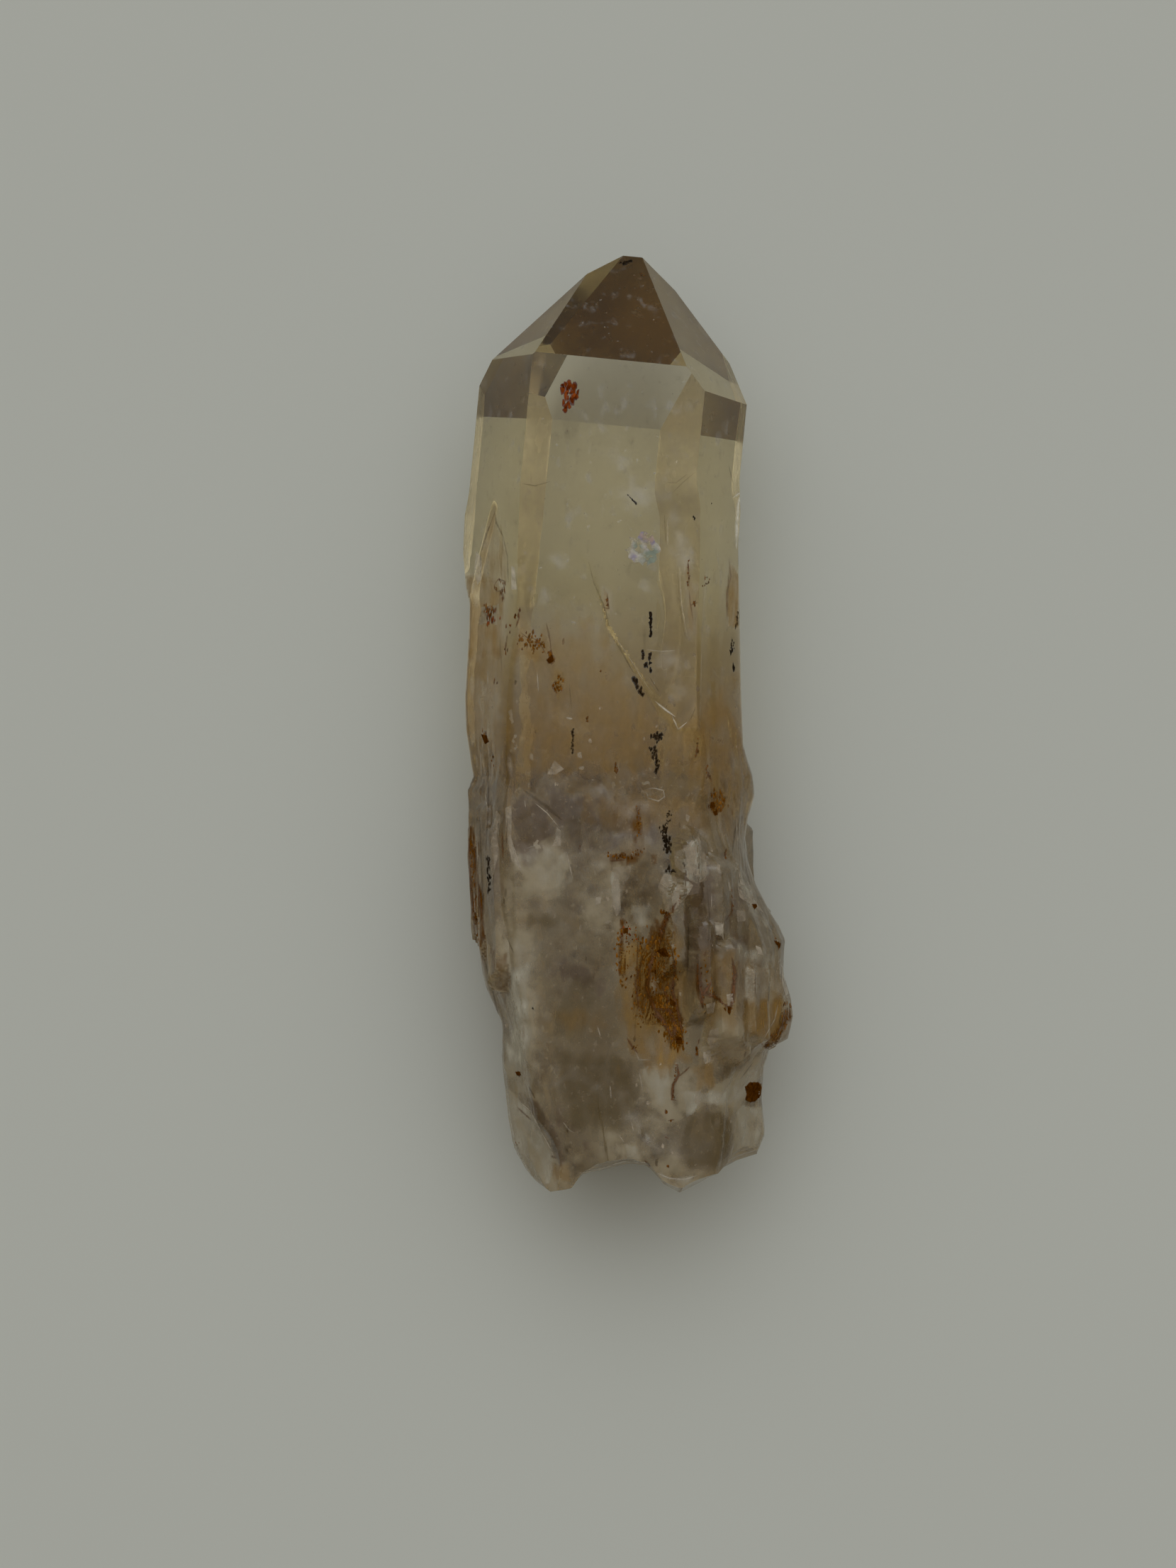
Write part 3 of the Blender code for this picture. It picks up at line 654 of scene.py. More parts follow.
CHALKY = [
    (0.45, 0.9, (5.9, -11.6), (6.6, -13.8), (4.8, -13)), (0.45, 0.7, (3.6, -15), (4, -17)),
    (0.6, 0.6, (-8.6, -11.4), (-8, -12)), (0.5, 0.8, (8, -29), (7.4, -31.6)),
    (0.6, 0.5, (-1.8, -18.9), (-1.4, -19.4)), (0.5, 0.7, (14.3, -22.5), (14.4, -25.6)),
    (0.5, 0.35, (10, -13), (10.4, -15.5)), (0.5, 0.4, (1.6, -5.7), (3, -5.9)),
    (0.4, 0.4, (-11, 1), (-10.6, -3)),
]
TAN_STAINS = [
    (0.6, 0.8, (12, -25.6), (14.6, -26), (14.8, -28.8), (13, -30.4), (11.4, -29.2)),
    (0.45, 0.8, (-15.5, 13.8), (-13.8, 13.6), (-11.9, 13.4), (-11.6, 9), (-11.9, 6), (-15.6, 6)),
    (0.28, 1.2, (-15.6, 7), (-11.9, 7), (-12.2, 3), (-12.7, -1.6), (-15.6, -1)),
    (0.25, 0.25, (-12.6, 19.9), (-13.6, 17.4), (-13.9, 15.6), (-13.9, 13), (-11.4, 13), (-11.4, 16),
     (-12.1, 17.6)),
    (0.45, 0.3, (9.3, 15.2), (10.3, 13.6), (10.4, 8.8), (9.2, 9), (9, 12)),
    (0.35, 0.5, (5.4, 15), (5.9, 12), (6.2, 8.2), (5.6, 8.4), (5.3, 12)),
    (0.45, 0.5, (-2.5, 12.6), (-1.8, 12), (-1.7, 10.2), (-2.4, 10.4)),
    (0.35, 0.9, (-10, 8.6), (-7.6, 8), (-6.4, 4.6), (-6.6, 2), (-7.6, 5.4), (-10.2, 6.2)),
    (0.22, 2, (5.4, 2), (10.4, 1), (11.4, -6), (9.6, -11), (5.6, -8)),
    (0.22, 2.5, (-10.6, 9), (-3, 10), (0, 5), (4, -0.5), (9.4, 4), (9.8, -5), (-10.6, -5)),
    (0.22, 1.3, (6.4, -21), (14, -22), (14.6, -28), (12, -29.4), (6.8, -28)),
    (0.25, 1.3, (-6.6, -27.4), (-3, -26.8), (-2.4, -28.4), (-6, -29.6)),
    (0.35, 0.9, (5.8, -32.4), (8.4, -31.4), (8, -34), (6.4, -34.6)),
    (0.5, 1.3, (-1, -20), (2, -20.8), (3.4, -18.8), (5.2, -21), (5.6, -31.6), (3, -33.2), (-0.6, -30.4)),
    (0.12, 1.8, (5.6, -20.6), (13.6, -22), (14.4, -28), (13, -33.6), (7, -33.2)),
    (0.22, 1.2, (-4.4, -6.6), (2.6, -6.6), (7.6, -7.2), (7.4, -10.4), (-0.4, -10.6), (-4.2, -9.6)),
    (0.35, 0.5, (-7.6, -41), (-5.6, -41.4), (-5.4, -43), (-7, -43)),
]
RUST_STAINS = [
    (0.55, 0.6, (0.4, -7.7), (1.1, -7.8), (1.3, -10.4), (1.7, -12.6), (0.6, -13.2), (-1.6, -13.5),
     (-2.3, -12.4), (-0.6, -12), (0.3, -10.4)),
    (0.4, 0.3, (2, -12.4), (2.6, -12.4), (2.6, -13.4), (2.1, -13.4)),
    (0.8, 0.8, (4.3, -17), (3.5, -18.4), (4.2, -20.4), (4.5, -23.4), (4.3, -25.6), (4.8, -27.4),
     (5.2, -30.4), (4, -30.4), (2.8, -28.4), (1, -28.4), (0.2, -26), (0.3, -23), (1.6, -20.6), (2.6, -18.6)),
    (1.2, 0.6, (2.4, -25), (4.6, -25), (5, -30.2), (4.3, -30.4), (2.4, -27.4)),
    (0.7, 0.4, (-1, -18.4), (-0.2, -18.6), (-0.4, -23.6), (-1.1, -23.8)),
    (0.4, 0.4, (6.4, -22.4), (7.4, -22), (8.8, -26), (6.8, -27)),
    (0.6, 0.4, (14.9, -26), (15.4, -27.6), (13.4, -30.8), (12.4, -30.5), (13.8, -28.4)),
    (0.7, 0.5, (-15.3, -9.6), (-14.4, -9.8), (-13.7, -16), (-13.2, -22.4), (-14.6, -22)),
    (0.35, 0.6, (-13.2, -21), (-11.4, -21.6), (-11.2, -25.4), (-12.4, -25.6)),
    (0.4, 0.35, (7.5, -7), (8.3, -6.4), (9.2, -7), (8.7, -8.4), (8, -8.8), (7.4, -8.2)),
    (0.35, 0.5, (-13.8, 10.8), (-12.4, 10.8), (-12.4, 9), (-13.8, 9.4)),
]
MILKY_PATCHES = [
    (0.95, 0.35, (-11.2, -12.7), (-10, -12.1), (-8.4, -11.3), (-7, -11.4), (-6.2, -12.1), (-5.5, -13.2),
     (-5.9, -14.6), (-6.8, -15.6), (-8, -15.8), (-9.8, -14.6)),
    (0.5, 1.2, (-12.2, -14.4), (-9.6, -15.2), (-8.8, -20), (-8.6, -24), (-11.8, -24), (-12.4, -20)),
    (0.8, 0.8, (-10.6, -23), (-9.4, -23), (-8.6, -26), (-8.6, -32.6), (-11.2, -32.4)),
    (0.85, 0.25, (-12.4, -33.4), (-10.4, -35.2), (-9.2, -36.3), (-8.3, -38.2), (-7.4, -39.8),
     (-6.9, -41.2), (-6.6, -44), (-9, -44.4), (-12.2, -40)),
    (0.75, 0.4, (0.9, -32.2), (3.6, -32.2), (4.2, -35.6), (5.4, -37.2), (3.6, -37.6), (2, -35.8)),
    (0.8, 0.5, (4.4, -33.6), (6.6, -34.6), (9, -33.4), (12.6, -30.6), (12.6, -33), (10.4, -36.4),
     (7.4, -35.9), (5.6, -37), (4.4, -36.4)),
    (0.85, 0.3, (9.9, -36.4), (10.6, -35.8), (12.9, -36), (13, -39.6), (11.6, -41.4), (10, -41),
     (10.2, -38.6)),
    (0.85, 0.4, (-0.7, -39.4), (0.7, -39.4), (1.6, -41.8), (-1, -42)),
    (0.6, 0.8, (7, -27.8), (8.8, -27.6), (8.8, -31.4), (6.8, -32)),
    (0.6, 0.7, (-1.4, -17.4), (1.6, -17), (2.4, -19), (0.4, -20), (-2, -19.4)),
    (0.7, 0.3, (2.4, -42.2), (4, -42.9), (6.6, -42.6), (6, -44.4), (3.6, -44)),
]
SMOKY_PATCHES = [
    (0.9, 0.7, (-6.8, -30.4), (-4.5, -31.2), (-1, -31), (0.8, -31.8), (1, -34), (0.2, -36.8), (-1.6, -38),
     (-3.6, -36.8), (-5.8, -35.6), (-6.8, -33)),
    (0.9, 0.2, (5, -38), (5.9, -36.9), (7.2, -36.3), (8.6, -36.5), (9.6, -37.4), (9.9, -38.8),
     (9.4, -40.8), (8, -42), (5.6, -42), (4.4, -40.4)),
    (0.6, 0.4, (-9.6, -17.9), (-6.4, -18.1), (-6.2, -19.4), (-9.4, -19.2)),
]
MAUVE_PATCHES = [
    (0.9, 0.2, (-10.8, -8.6), (-10, -7.8), (-8.9, -7.8), (-7.7, -8.6), (-6.8, -9.6), (-6.9, -10.6),
     (-8.2, -11.2), (-9.6, -11.7), (-10.6, -11.3), (-10.9, -10)),
    (0.9, 0.35, (-9.8, -34.9), (-8.6, -35.4), (-7, -37.8), (-5.6, -41), (-6.5, -41.6), (-7.3, -39.6),
     (-8.3, -37.7), (-9.4, -36.2)),
    (0.75, 0.7, (-6.4, -9.2), (-1.4, -7.6), (0.2, -10.8), (-1.8, -12.4), (-5.6, -12.4)),
    (0.6, 0.3, (5, -17), (6.4, -15.6), (7.4, -17), (7.4, -21.6), (5.6, -27), (4.8, -22)),
]
MILKY_DOWN_Y = ((0.36, -4, -14), (0.05, 14, -2))
MILKY_MARKS = 0.8
MAUVE_BELOW, MAUVE_BELOW_Y = 0.4, (-2, -10)
TAN_DOWN_Y = (17, -1)
PALER_FRONT, PALER_FRONT_Y = 0.3, (-2, 3)
END_FACE_Y = 0.35
FACES_DOWN_Z = -0.985
UNDER_SIDE_Z = (0.0, 0.3)
UNDER_SIDE_Y = (-16.0, -4.0)
UNDER_TIP_Z = -0.2
BREAK_FACE_Y = (-0.3, -0.6)
BREAK_FROM_Y = (-37.0, -39.0)


def patch_marks(places, patches):
    """The strongest of several patches at each place. A patch is its strength, how soft its edge is, and its
    outline."""
    total = np.zeros(len(places))
    for strength, softness, *outline in patches:
        covered = np.zeros(len(places), bool)
        for (x, y), (next_x, next_y) in zip(outline, outline[1:] + outline[:1]):
            crossed = (y > places[:, 1]) != (next_y > places[:, 1])
            crossed_x = x + (places[:, 1] - y) * (next_x - x) / ((next_y - y) or FAR)
            covered ^= crossed & (places[:, 0] < crossed_x)
        away = distance_to_line(places, outline + outline[:1])
        total = np.maximum(total, strength * ramp(np.where(covered, away, -away), -softness, softness))
    return total


def under_side(face):
    """How much milky film a face of the mesh has: all of it on the two lower sides, fading in the root."""
    if abs(face.normal.y) > END_FACE_Y or face.normal.z < FACES_DOWN_Z:
        return 0.0
    return float(ramp(-face.normal.z, *UNDER_SIDE_Z) * ramp(face.center.y / MM, *UNDER_SIDE_Y))


def broken_base(face):
    """How cloudy the break at the base is: all of it on the faces that look out there, and none elsewhere."""
    return float(ramp_down(face.normal.y, *BREAK_FACE_Y) * ramp_down(face.center.y / MM, *BREAK_FROM_Y))


def under_tip(face):
    """1 on the tip's faces that look down, which are a little dull, and 0 elsewhere."""
    at_tip = face.normal.y > END_FACE_Y and face.center.y > GLASSY_FROM_Y * MM
    return float(at_tip and face.normal.z < UNDER_TIP_Z)


def paint_places(mesh):
    """Writes how milky, mauve, smoky, rusty, chalky and etched each point of the crystal is."""
    count = len(mesh.vertices)
    flat = np.empty(count * 3)
    mesh.vertices.foreach_get("co", flat)
    points = flat.reshape(-1, 3) / MM
    places = seen_from_above(points)
    upper = ramp(points[:, 2], *SEEN_FROM_Z)
    y = points[:, 1]
    cloudiest = np.maximum(MILKY_MARKS * soft_marks(places, MILKY), patch_marks(places, MILKY_PATCHES))
    mauvest = np.maximum(soft_marks(places, MAUVE), patch_marks(places, MAUVE_PATCHES))
    smokiest = np.maximum(soft_marks(places, SMOKY), patch_marks(places, SMOKY_PATCHES))
    layers = {
        "milky": grows_down(y, MILKY_DOWN_Y),
        "cloudy": cloudiest * upper,
        "mauve": mauvest * upper + MAUVE_BELOW * (1 - upper) * ramp_down(y, *MAUVE_BELOW_Y),
        "smoky": smokiest * upper,
        "stained": patch_marks(places, TAN_STAINS + RUST_STAINS) * upper,
        "rusty": soft_marks(places, RUSTY) * upper,
        "chalky": soft_marks(places, CHALKY) * upper,
        "etched": etched_amount(points + np.array([MIDDLE_X, 0, 0])),
        "tan": ramp_down(y, *TAN_DOWN_Y) * (1 - PALER_FRONT * upper * ramp(y, *PALER_FRONT_Y)),
    }
    for name, values in layers.items():
        mesh.attributes.new(name, "FLOAT", "POINT").data.foreach_set("value", values)
    for name, amount in (("filmed", under_side), ("dulled", under_tip), ("broken", broken_base)):
        amounts = [amount(face) for face in mesh.polygons]
        mesh.attributes.new(name, "FLOAT", "FACE").data.foreach_set("value", amounts)


paint_places(citrine.data)

# Citrine: clear quartz with a faint smoky yellow through its depth, glassy where the faces grew, frosted and
# clouded where they were etched. The colour is absorption inside the stone, so thick parts look darker. A
# noise is its patches' size across and along in millimetres, its detail, and the values that fill 0 to 1.
QUARTZ_IOR = 1.544
CLEAR_GLASS = "ffffff"
TAN_GLASS = "d6b878"
MILK = "91805c"
CLOUD = "b4a88e"
FILM = "e8e2c4"
MAUVE_QUARTZ = "75624c"
SMOKE_GLASS = "6a5430"
CHALK = "9c8e78"
STAIN = "a07838"
RUST = "8c6224"
DEEP_RUST = "3c1f05"
ABSORBED_PER_M = 27.0
PASSED_COLOUR = (0.88, 0.713, 0.217, 1)
CLOUDS = (4.5, 4.5, 3.0, 0.3, 0.7)
PATCHES = (1.6, 1.6, 5.0, 0.3, 0.7)
GRAIN = (0.9, 2.0, 4.0, 0.28, 0.72)
FLECKS = (0.5, 0.5, 3.0, 0.3, 0.75)
SPECKS = (0.42, 0.6, 3.0, 0.62, 0.7)
FILM_LEAST = 0.5
MILK_EDGE, CLOUD_EDGE, MAUVE_EDGE, CHALK_EDGE, RUST_EDGE = 0.8, 0.45, 0.4, 0.12, 0.2
CLOUD_RISE, MILK_RISE = 3.0, 4.0
SMOKE_CLEARS = 0.9
TAN_TINT, SMOKE_TINT, STAIN_TINT, CLOUD_TINT, SPECK_TINT = 0.75, 0.8, 0.5, 0.65, 0.4
STAIN_OVER_MILK = 0.6
HELD_BACK = {"milky": 0.5, "filmed": 0.6, "mauve": 0.4, "pale": 0.6, "stained": 0.3, "smoky": 0.4,
             "cloudy": 0.45, "rusty": 0.6}
GLOSSY = 0.015
FROST, FROST_GRAIN = 0.02, 0.08
RUST_DULLS, MILK_DULLS, TIP_DULLS, FILM_DULLS = 0.1, 0.03, 0.1, 0.3
GRAIN_RELIEF, FLECK_RELIEF = 0.7, 0.3
RELIEF_MM, RELIEF_STRENGTH = 0.06, 0.5


def linear(hex_colour):
    """An sRGB hex colour as a linear RGBA value."""
    channels = [int(hex_colour[i:i + 2], 16) / 255 for i in (0, 2, 4)]
    return tuple(c / 12.92 if c <= 0.04045 else ((c + 0.055) / 1.055) ** 2.4 for c in channels) + (1,)


def add_node(tree, kind, inputs=(), **settings):
    """Adds a node with its settings. An input is a value, or another node's output to link from."""
    made = tree.nodes.new(kind)
    for name, value in settings.items():
        setattr(made, name, value)
    for name, value in dict(inputs).items():
        if isinstance(value, bpy.types.NodeSocket):
            tree.links.new(value, made.inputs[name])
        else:
            made.inputs[name].default_value = value
    return made


def empty_material(name):
    """A new material with nothing in its node tree but the output."""
    material = bpy.data.materials.new(name)
    material.use_nodes = True
    material.node_tree.nodes.clear()
    output = add_node(material.node_tree, "ShaderNodeOutputMaterial")
    return material, material.node_tree, output


def citrine_quartz():
    """Quartz with what is painted on it: less clear and rougher where it is clouded, stained or etched."""
    material, tree, output = empty_material("citrine quartz, grown and etched")
    where = add_node(tree, "ShaderNodeTexCoord").outputs["Object"]

    def painted(name):
        return add_node(tree, "ShaderNodeAttribute", attribute_name=name).outputs["Fac"]

    def noise_of(across, along, detail, low, high):
        """Noise whose patches have this size in millimetres, spread so that low to high fill 0 to 1."""
        scale = (1 / (across * MM), 1 / (along * MM), 1 / (across * MM))
        moved = add_node(tree, "ShaderNodeMapping", {"Vector": where, "Scale": scale}).outputs["Vector"]
        grain = add_node(tree, "ShaderNodeTexNoise", {"Vector": moved, "Scale": 1.0, "Detail": detail})
        spread = {"Value": grain.outputs["Fac"], "From Min": low, "From Max": high}
        return add_node(tree, "ShaderNodeMapRange", spread).outputs["Result"]

    def maths(operation, first, second=0.0):
        return add_node(tree, "ShaderNodeMath", {0: first, 1: second}, operation=operation).outputs[0]

    def times(first, second):
        return maths("MULTIPLY", first, second)

    def plus(first, second):
        return maths("ADD", first, second)

    def broken_up(amount, patches, softness):
        """An amount from 0 to 1 as patches that cover that share of the surface."""
        over = maths("SUBTRACT", plus(amount, patches), 1.0)
        inputs = {"Value": over, "From Min": -softness, "From Max": softness}
        return add_node(tree, "ShaderNodeMapRange", inputs, interpolation_type="SMOOTHSTEP").outputs["Result"]

    def blended(amount, below, above):
        """A linear colour with this much of a hex colour over it."""
        inputs = {"Factor": amount, "A": below, "B": linear(above)}
        return add_node(tree, "ShaderNodeMix", inputs, data_type="RGBA").outputs["Result"]

    clouds = noise_of(*CLOUDS)
    thicker = plus(times(clouds, 1 - FILM_LEAST), FILM_LEAST)
    filmed = times(painted("filmed"), thicker)
    patches = noise_of(*PATCHES)
    grain = noise_of(*GRAIN)
    flecks = noise_of(*FLECKS)
    etched = painted("etched")

    specks = times(noise_of(*SPECKS), etched)
    stained = painted("stained")
    smoky = painted("smoky")
    uneven = times(plus(clouds, patches), 0.5)
    milk = broken_up(painted("milky"), uneven, MILK_EDGE)
    cloudiest = maths("MAXIMUM", painted("cloudy"), painted("broken"))
    cloudy = broken_up(cloudiest, uneven, CLOUD_EDGE)
    cloudy = times(cloudy, maths("MINIMUM", times(cloudiest, CLOUD_RISE), 1.0))
    milk = times(milk, maths("MINIMUM", times(painted("milky"), MILK_RISE), 1.0))
    not_smoky = maths("SUBTRACT", 1.0, times(smoky, SMOKE_CLEARS))
    milk = times(milk, not_smoky)
    cloudy = times(cloudy, not_smoky)
    mauve = broken_up(painted("mauve"), times(plus(grain, patches), 0.5), MAUVE_EDGE)
    chalk = broken_up(painted("chalky"), flecks, CHALK_EDGE)
    rust = broken_up(painted("rusty"), times(plus(grain, flecks), 0.5), RUST_EDGE)
    deep_rust = times(rust, times(flecks, painted("rusty")))

    colour = blended(times(painted("tan"), TAN_TINT), linear(CLEAR_GLASS), TAN_GLASS)
    colour = blended(times(smoky, SMOKE_TINT), colour, SMOKE_GLASS)
    colour = blended(times(stained, STAIN_TINT), colour, STAIN)
    not_stained = maths("SUBTRACT", 1.0, times(stained, STAIN_OVER_MILK))
    colour = blended(times(milk, not_stained), colour, MILK)
    colour = blended(times(cloudy, CLOUD_TINT), colour, CLOUD)
    colour = blended(filmed, colour, FILM)
    colour = blended(mauve, colour, MAUVE_QUARTZ)
    pale = maths("MAXIMUM", chalk, times(specks, SPECK_TINT))
    colour = blended(pale, colour, CHALK)
    colour = blended(rust, colour, RUST)
    colour = blended(deep_rust, colour, DEEP_RUST)

    covers = {"milky": milk, "filmed": filmed, "mauve": mauve, "pale": pale, "stained": stained,
              "smoky": smoky, "cloudy": cloudy, "rusty": rust}
    through = 1.0
    for name, share in HELD_BACK.items():
        through = times(maths("SUBTRACT", 1.0, times(covers[name], share)), through)

    frost = times(etched, plus(times(grain, FROST_GRAIN), FROST))
    dull = plus(times(rust, RUST_DULLS), times(milk, MILK_DULLS))
    dull = plus(dull, times(painted("dulled"), TIP_DULLS))
    dull = plus(dull, times(filmed, FILM_DULLS))
    rough = plus(plus(frost, dull), GLOSSY)

    relief = plus(times(grain, GRAIN_RELIEF), times(flecks, FLECK_RELIEF))
    relief = times(relief, etched)
    bump = add_node(tree, "ShaderNodeBump", {
        "Strength": RELIEF_STRENGTH, "Distance": RELIEF_MM * MM, "Height": relief})

    surface = add_node(tree, "ShaderNodeBsdfPrincipled", {
        "Base Color": colour, "Roughness": rough, "IOR": QUARTZ_IOR, "Transmission Weight": through,
        "Normal": bump.outputs["Normal"],
    })
    inside = add_node(tree, "ShaderNodeVolumeAbsorption", {"Color": PASSED_COLOUR, "Density": ABSORBED_PER_M})
    tree.links.new(surface.outputs["BSDF"], output.inputs["Surface"])
    tree.links.new(inside.outputs["Volume"], output.inputs["Volume"])
    return material


citrine.data.materials.append(citrine_quartz())
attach(citrine, "root")
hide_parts("citrine_crystal")

# Healed cracks: quartz that split and grew together again, as pale plates and slivers, with rust drawn into
# some.
# The bright lines along crack edges, ledge rims, the notch lip and the glassy bay are painted highlights, and
# the dark lines and flecks are painted shade where a crack is seen edge on. A plate is its cover, how white it
# is, and its outline. An edge is its width, its cover, how white its painted highlight is where it is a bright
# one, and its points.
PLATES = [
    (0.48, 0, (6.5, -10.6), (6.7, -11.6), (7.2, -12.6), (7.3, -14.2), (7, -14.9), (6.3, -15.1),
     (5.6, -14.8), (5.2, -14.2), (4.3, -13.5), (4.2, -12.1), (5.2, -11.8), (6, -11.1)),
    (0.48, 0, (3.2, -14.2), (4, -14.3), (5.6, -14.9), (6, -15.3), (5.4, -16.3), (4.6, -17.2),
     (3.9, -17.9), (3.4, -17.6), (3.1, -16.4), (2.7, -15.4)),
    (0.64, 0.17, (8, -18.7), (8.8, -18.8), (8.8, -19.9), (8.9, -20.5), (8.6, -20), (8.1, -19.9)),
    (0.4, 0.05, (10, -17.6), (10.8, -17.7), (10.9, -18.6), (10.1, -18.7)),
    (0.64, 0.17, (11.8, -20.9), (12.3, -21.1), (12.5, -21.8), (12, -21.7)),
    (0.48, 0.15, (-3.1, -16.4), (-2.6, -16.3), (-2.7, -17), (-3.2, -17.1)),
    (0.48, 0.1, (-7.7, -4.9), (-7, -3.6), (-6.1, -4.4), (-6.9, -4.9)),
    (0.4, 0.15, (-4.9, -2.9), (-4.5, -2.8), (-4.4, -3.4), (-4.8, -3.3)),
    (0.4, 0.15, (-4.7, -4.2), (-4.2, -4.1), (-4.3, -4.5), (-4.7, -4.4)),
    (0.4, 0.1, (-9.3, -2.9), (-9, -3), (-9, -3.6), (-9.3, -3.4)),
    (0.48, 0.05, (-1.3, -14.2), (-0.9, -15.2), (-0.8, -17.6), (-1.2, -18.2), (-1.6, -17), (-1.6, -15.2)),
    (0.4, 0, (-1.6, -13.6), (0.2, -13.4), (0, -14.6), (-0.6, -15), (-1.4, -14.4)),
    (0.4, 0.1, (7.6, -28.8), (8.4, -28.6), (8.3, -30.2), (7.6, -30.6), (7.3, -29.8)),
    (0.56, 0.15, (7, -30.6), (7.6, -30.7), (7.6, -31.8), (7.1, -32), (6.9, -31.2)),
    (0.56, 0.15, (7.2, -26.4), (8, -26.2), (7.9, -27.2), (7.3, -27.3)),
    (0.56, 0.15, (9.1, -25.5), (9.7, -25.4), (9.8, -26.4), (9.2, -26.6)),
    (0.4, 0.05, (6.2, -34.6), (6.7, -34.4), (6.6, -36), (6.1, -35.6)),
    (0.48, 0.05, (-12.4, -8.2), (-12, -8.8), (-12.2, -10.6), (-12.3, -12.6), (-12.8, -14.8), (-13, -12.6),
     (-12.8, -10)),
    (0.48, 0.1, (-11.6, -8), (-11, -7.8), (-11.1, -10), (-10.9, -12), (-10, -14), (-11, -12.9),
     (-11.4, -11)),
    (0.48, 0.1, (-6.8, -9.8), (-6.4, -10.2), (-6.4, -11.6), (-7.2, -11.6), (-6.9, -10.8)),
    (0.56, 0.2, (10.1, -13.8), (10.4, -14.4), (10.8, -15.3), (10.4, -15.2)),
    (0.48, 0.1, (10.1, -15.4), (10.8, -16.1), (11.8, -16.8), (12.6, -17.9), (11.4, -17.2), (10.3, -16.4)),
    (0.48, 0.15, (9.2, -15), (9.4, -15), (9.5, -15.9), (9.3, -15.8)),
    (0.48, 0.1, (8.2, -13.2), (8.5, -13.4), (8.5, -14.2), (8.2, -14)),
    (0.56, 0.25, (14.2, -22.6), (14.5, -23.6), (15, -25.4), (14.6, -25.6), (14.3, -24.6)),
    (0.7, 0.4, (-11, 14.6), (-10.7, 14.4), (-10.5, 12.4), (-11, 12.4)),
    (0.6, 0.3, (-14.3, 16), (-13.8, 15.4), (-13.8, 13.4), (-14.2, 12.8), (-14.5, 14)),
    (0.4, 0.05, (5.3, -8.6), (5.7, -8.8), (5.5, -9.4), (5.3, -9.2)),
    (0.32, 0, (1.6, -6.2), (2, -6.2), (2.1, -6.8), (1.7, -6.9)),
]
# Painted highlights: bright lines where crack edges, ledge rims, the notch lip and the glassy bay catch the
# light.
PAINTED_HIGHLIGHT_EDGES = [
    (0.14, 0.68, 0.21, (1.5, -6.3), (1.8, -7.1), (2.7, -7.4), (3.3, -7), (3.2, -6.4), (2.4, -6.2),
     (1.7, -6.2)),
    (0.34, 0.9, 1, (10.5, 21.7), (10.2, 20.4), (10.05, 18.6), (10, 16.2)),
    (0.2, 0.8, 0.8, (10.4, 21.5), (9.7, 21)), (0.2, 0.8, 0.6, (2.4, 2), (3.2, 1.3), (4.3, 0.5)),
    (0.16, 0.7, 0.5, (4, 0.6), (4.6, -0.7), (5.4, 0)),
    (0.14, 0.6, 0.3, (-1.7, 8.5), (-0.2, 6.4), (0.9, 4.6), (2.2, 2.6)),
    (0.12, 0.5, 0.3, (1.6, 6.8), (3, 6.6), (4.4, 6.7)), (0.12, 0.5, 0.3, (4.7, 14.4), (4.9, 11), (5.4, 8)),
    (0.12, 0.5, 0.3, (3.6, 19), (3.6, 16.6)), (0.16, 0.68, 0.17, (-8.8, -7.6), (-7.7, -8.5), (-6.7, -9.7)),
    (0.14, 0.59, 0.14, (-9.8, -7.3), (-9.7, -8)),
    (0.16, 0.68, 0.14, (-5.8, -12.4), (-5.6, -13.4), (-5.3, -14.6)),
    (0.12, 0.51, 0.1, (-9.6, -11.8), (-8.6, -11.5)),
    (0.18, 0.77, 0.17, (-10.4, -35.4), (-9.2, -36.4), (-8.3, -38.2), (-7.4, -39.8), (-6.9, -41)),
    (0.14, 0.59, 0.1, (-6.2, -37.4), (-5.6, -38.2), (-5.2, -38.4)),
    (0.14, 0.59, 0.14, (-1.8, -34), (-1.7, -35.2)),
    (0.2, 0.7, 0.5, (-4.6, -42.2), (-2.4, -41.7), (-0.6, -41.1), (1.5, -41.2)),
    (0.2, 0.6, 0.4, (2.6, -42.2), (3.8, -42.7), (5.2, -42.8), (6.4, -42.4)),
    (0.12, 0.59, 0.1, (-1, -38.6), (-0.4, -39.4)), (0.14, 0.59, 0.14, (0.2, -37.4), (0.4, -38.3)),
    (0.14, 0.68, 0.14, (13.9, -26.4), (13.6, -27.8), (12.6, -29.6)),
    (0.12, 0.59, 0.14, (12.6, -32), (11.4, -33), (10.2, -34.6), (9, -36)),
    (0.1, 0.51, 0.1, (11.2, -31.6), (10.2, -33), (9.2, -34), (8.4, -35.4)),
    (0.3, 0.51, 0.1, (-9.9, -28.4), (-9.9, -29.8)), (0.14, 0.59, 0.14, (-3, -28.4), (-2.7, -29.4)),
    (0.12, 0.51, 0.1, (6.5, -10.8), (6.6, -12), (6.9, -13.4)), (0.12, 0.59, 0.14, (10, -9), (10.1, -11.6)),
    (0.1, 0.51, 0.14, (7.7, -16), (7.7, -17.4)), (0.14, 0.51, 0.1, (-13.5, -6.2), (-13.2, -8.6)),
    (0.12, 0.6, 0.3, (-13.9, -2.4), (-13.8, -5)), (0.12, 0.6, 0.3, (-8.6, 4.6), (-8.5, 2.8)),
    (0.1, 0.5, 0.3, (-13.2, 5), (-13.2, 3.2)), (0.2, 0.6, 0.4, (-5.9, 0.4), (-5.3, 0.3)),
    (0.16, 0.59, 0.14, (-14.5, -16), (-14.4, -18)), (0.14, 0.51, 0.1, (12.9, -26), (13, -27.4)),
    (0.14, 0.59, 0.1, (0.9, -32.6), (1.3, -34.6)),
    (0.1, 0.51, 0.1, (0.4, -30.4), (0.9, -31.6), (2.2, -31.6)),
]
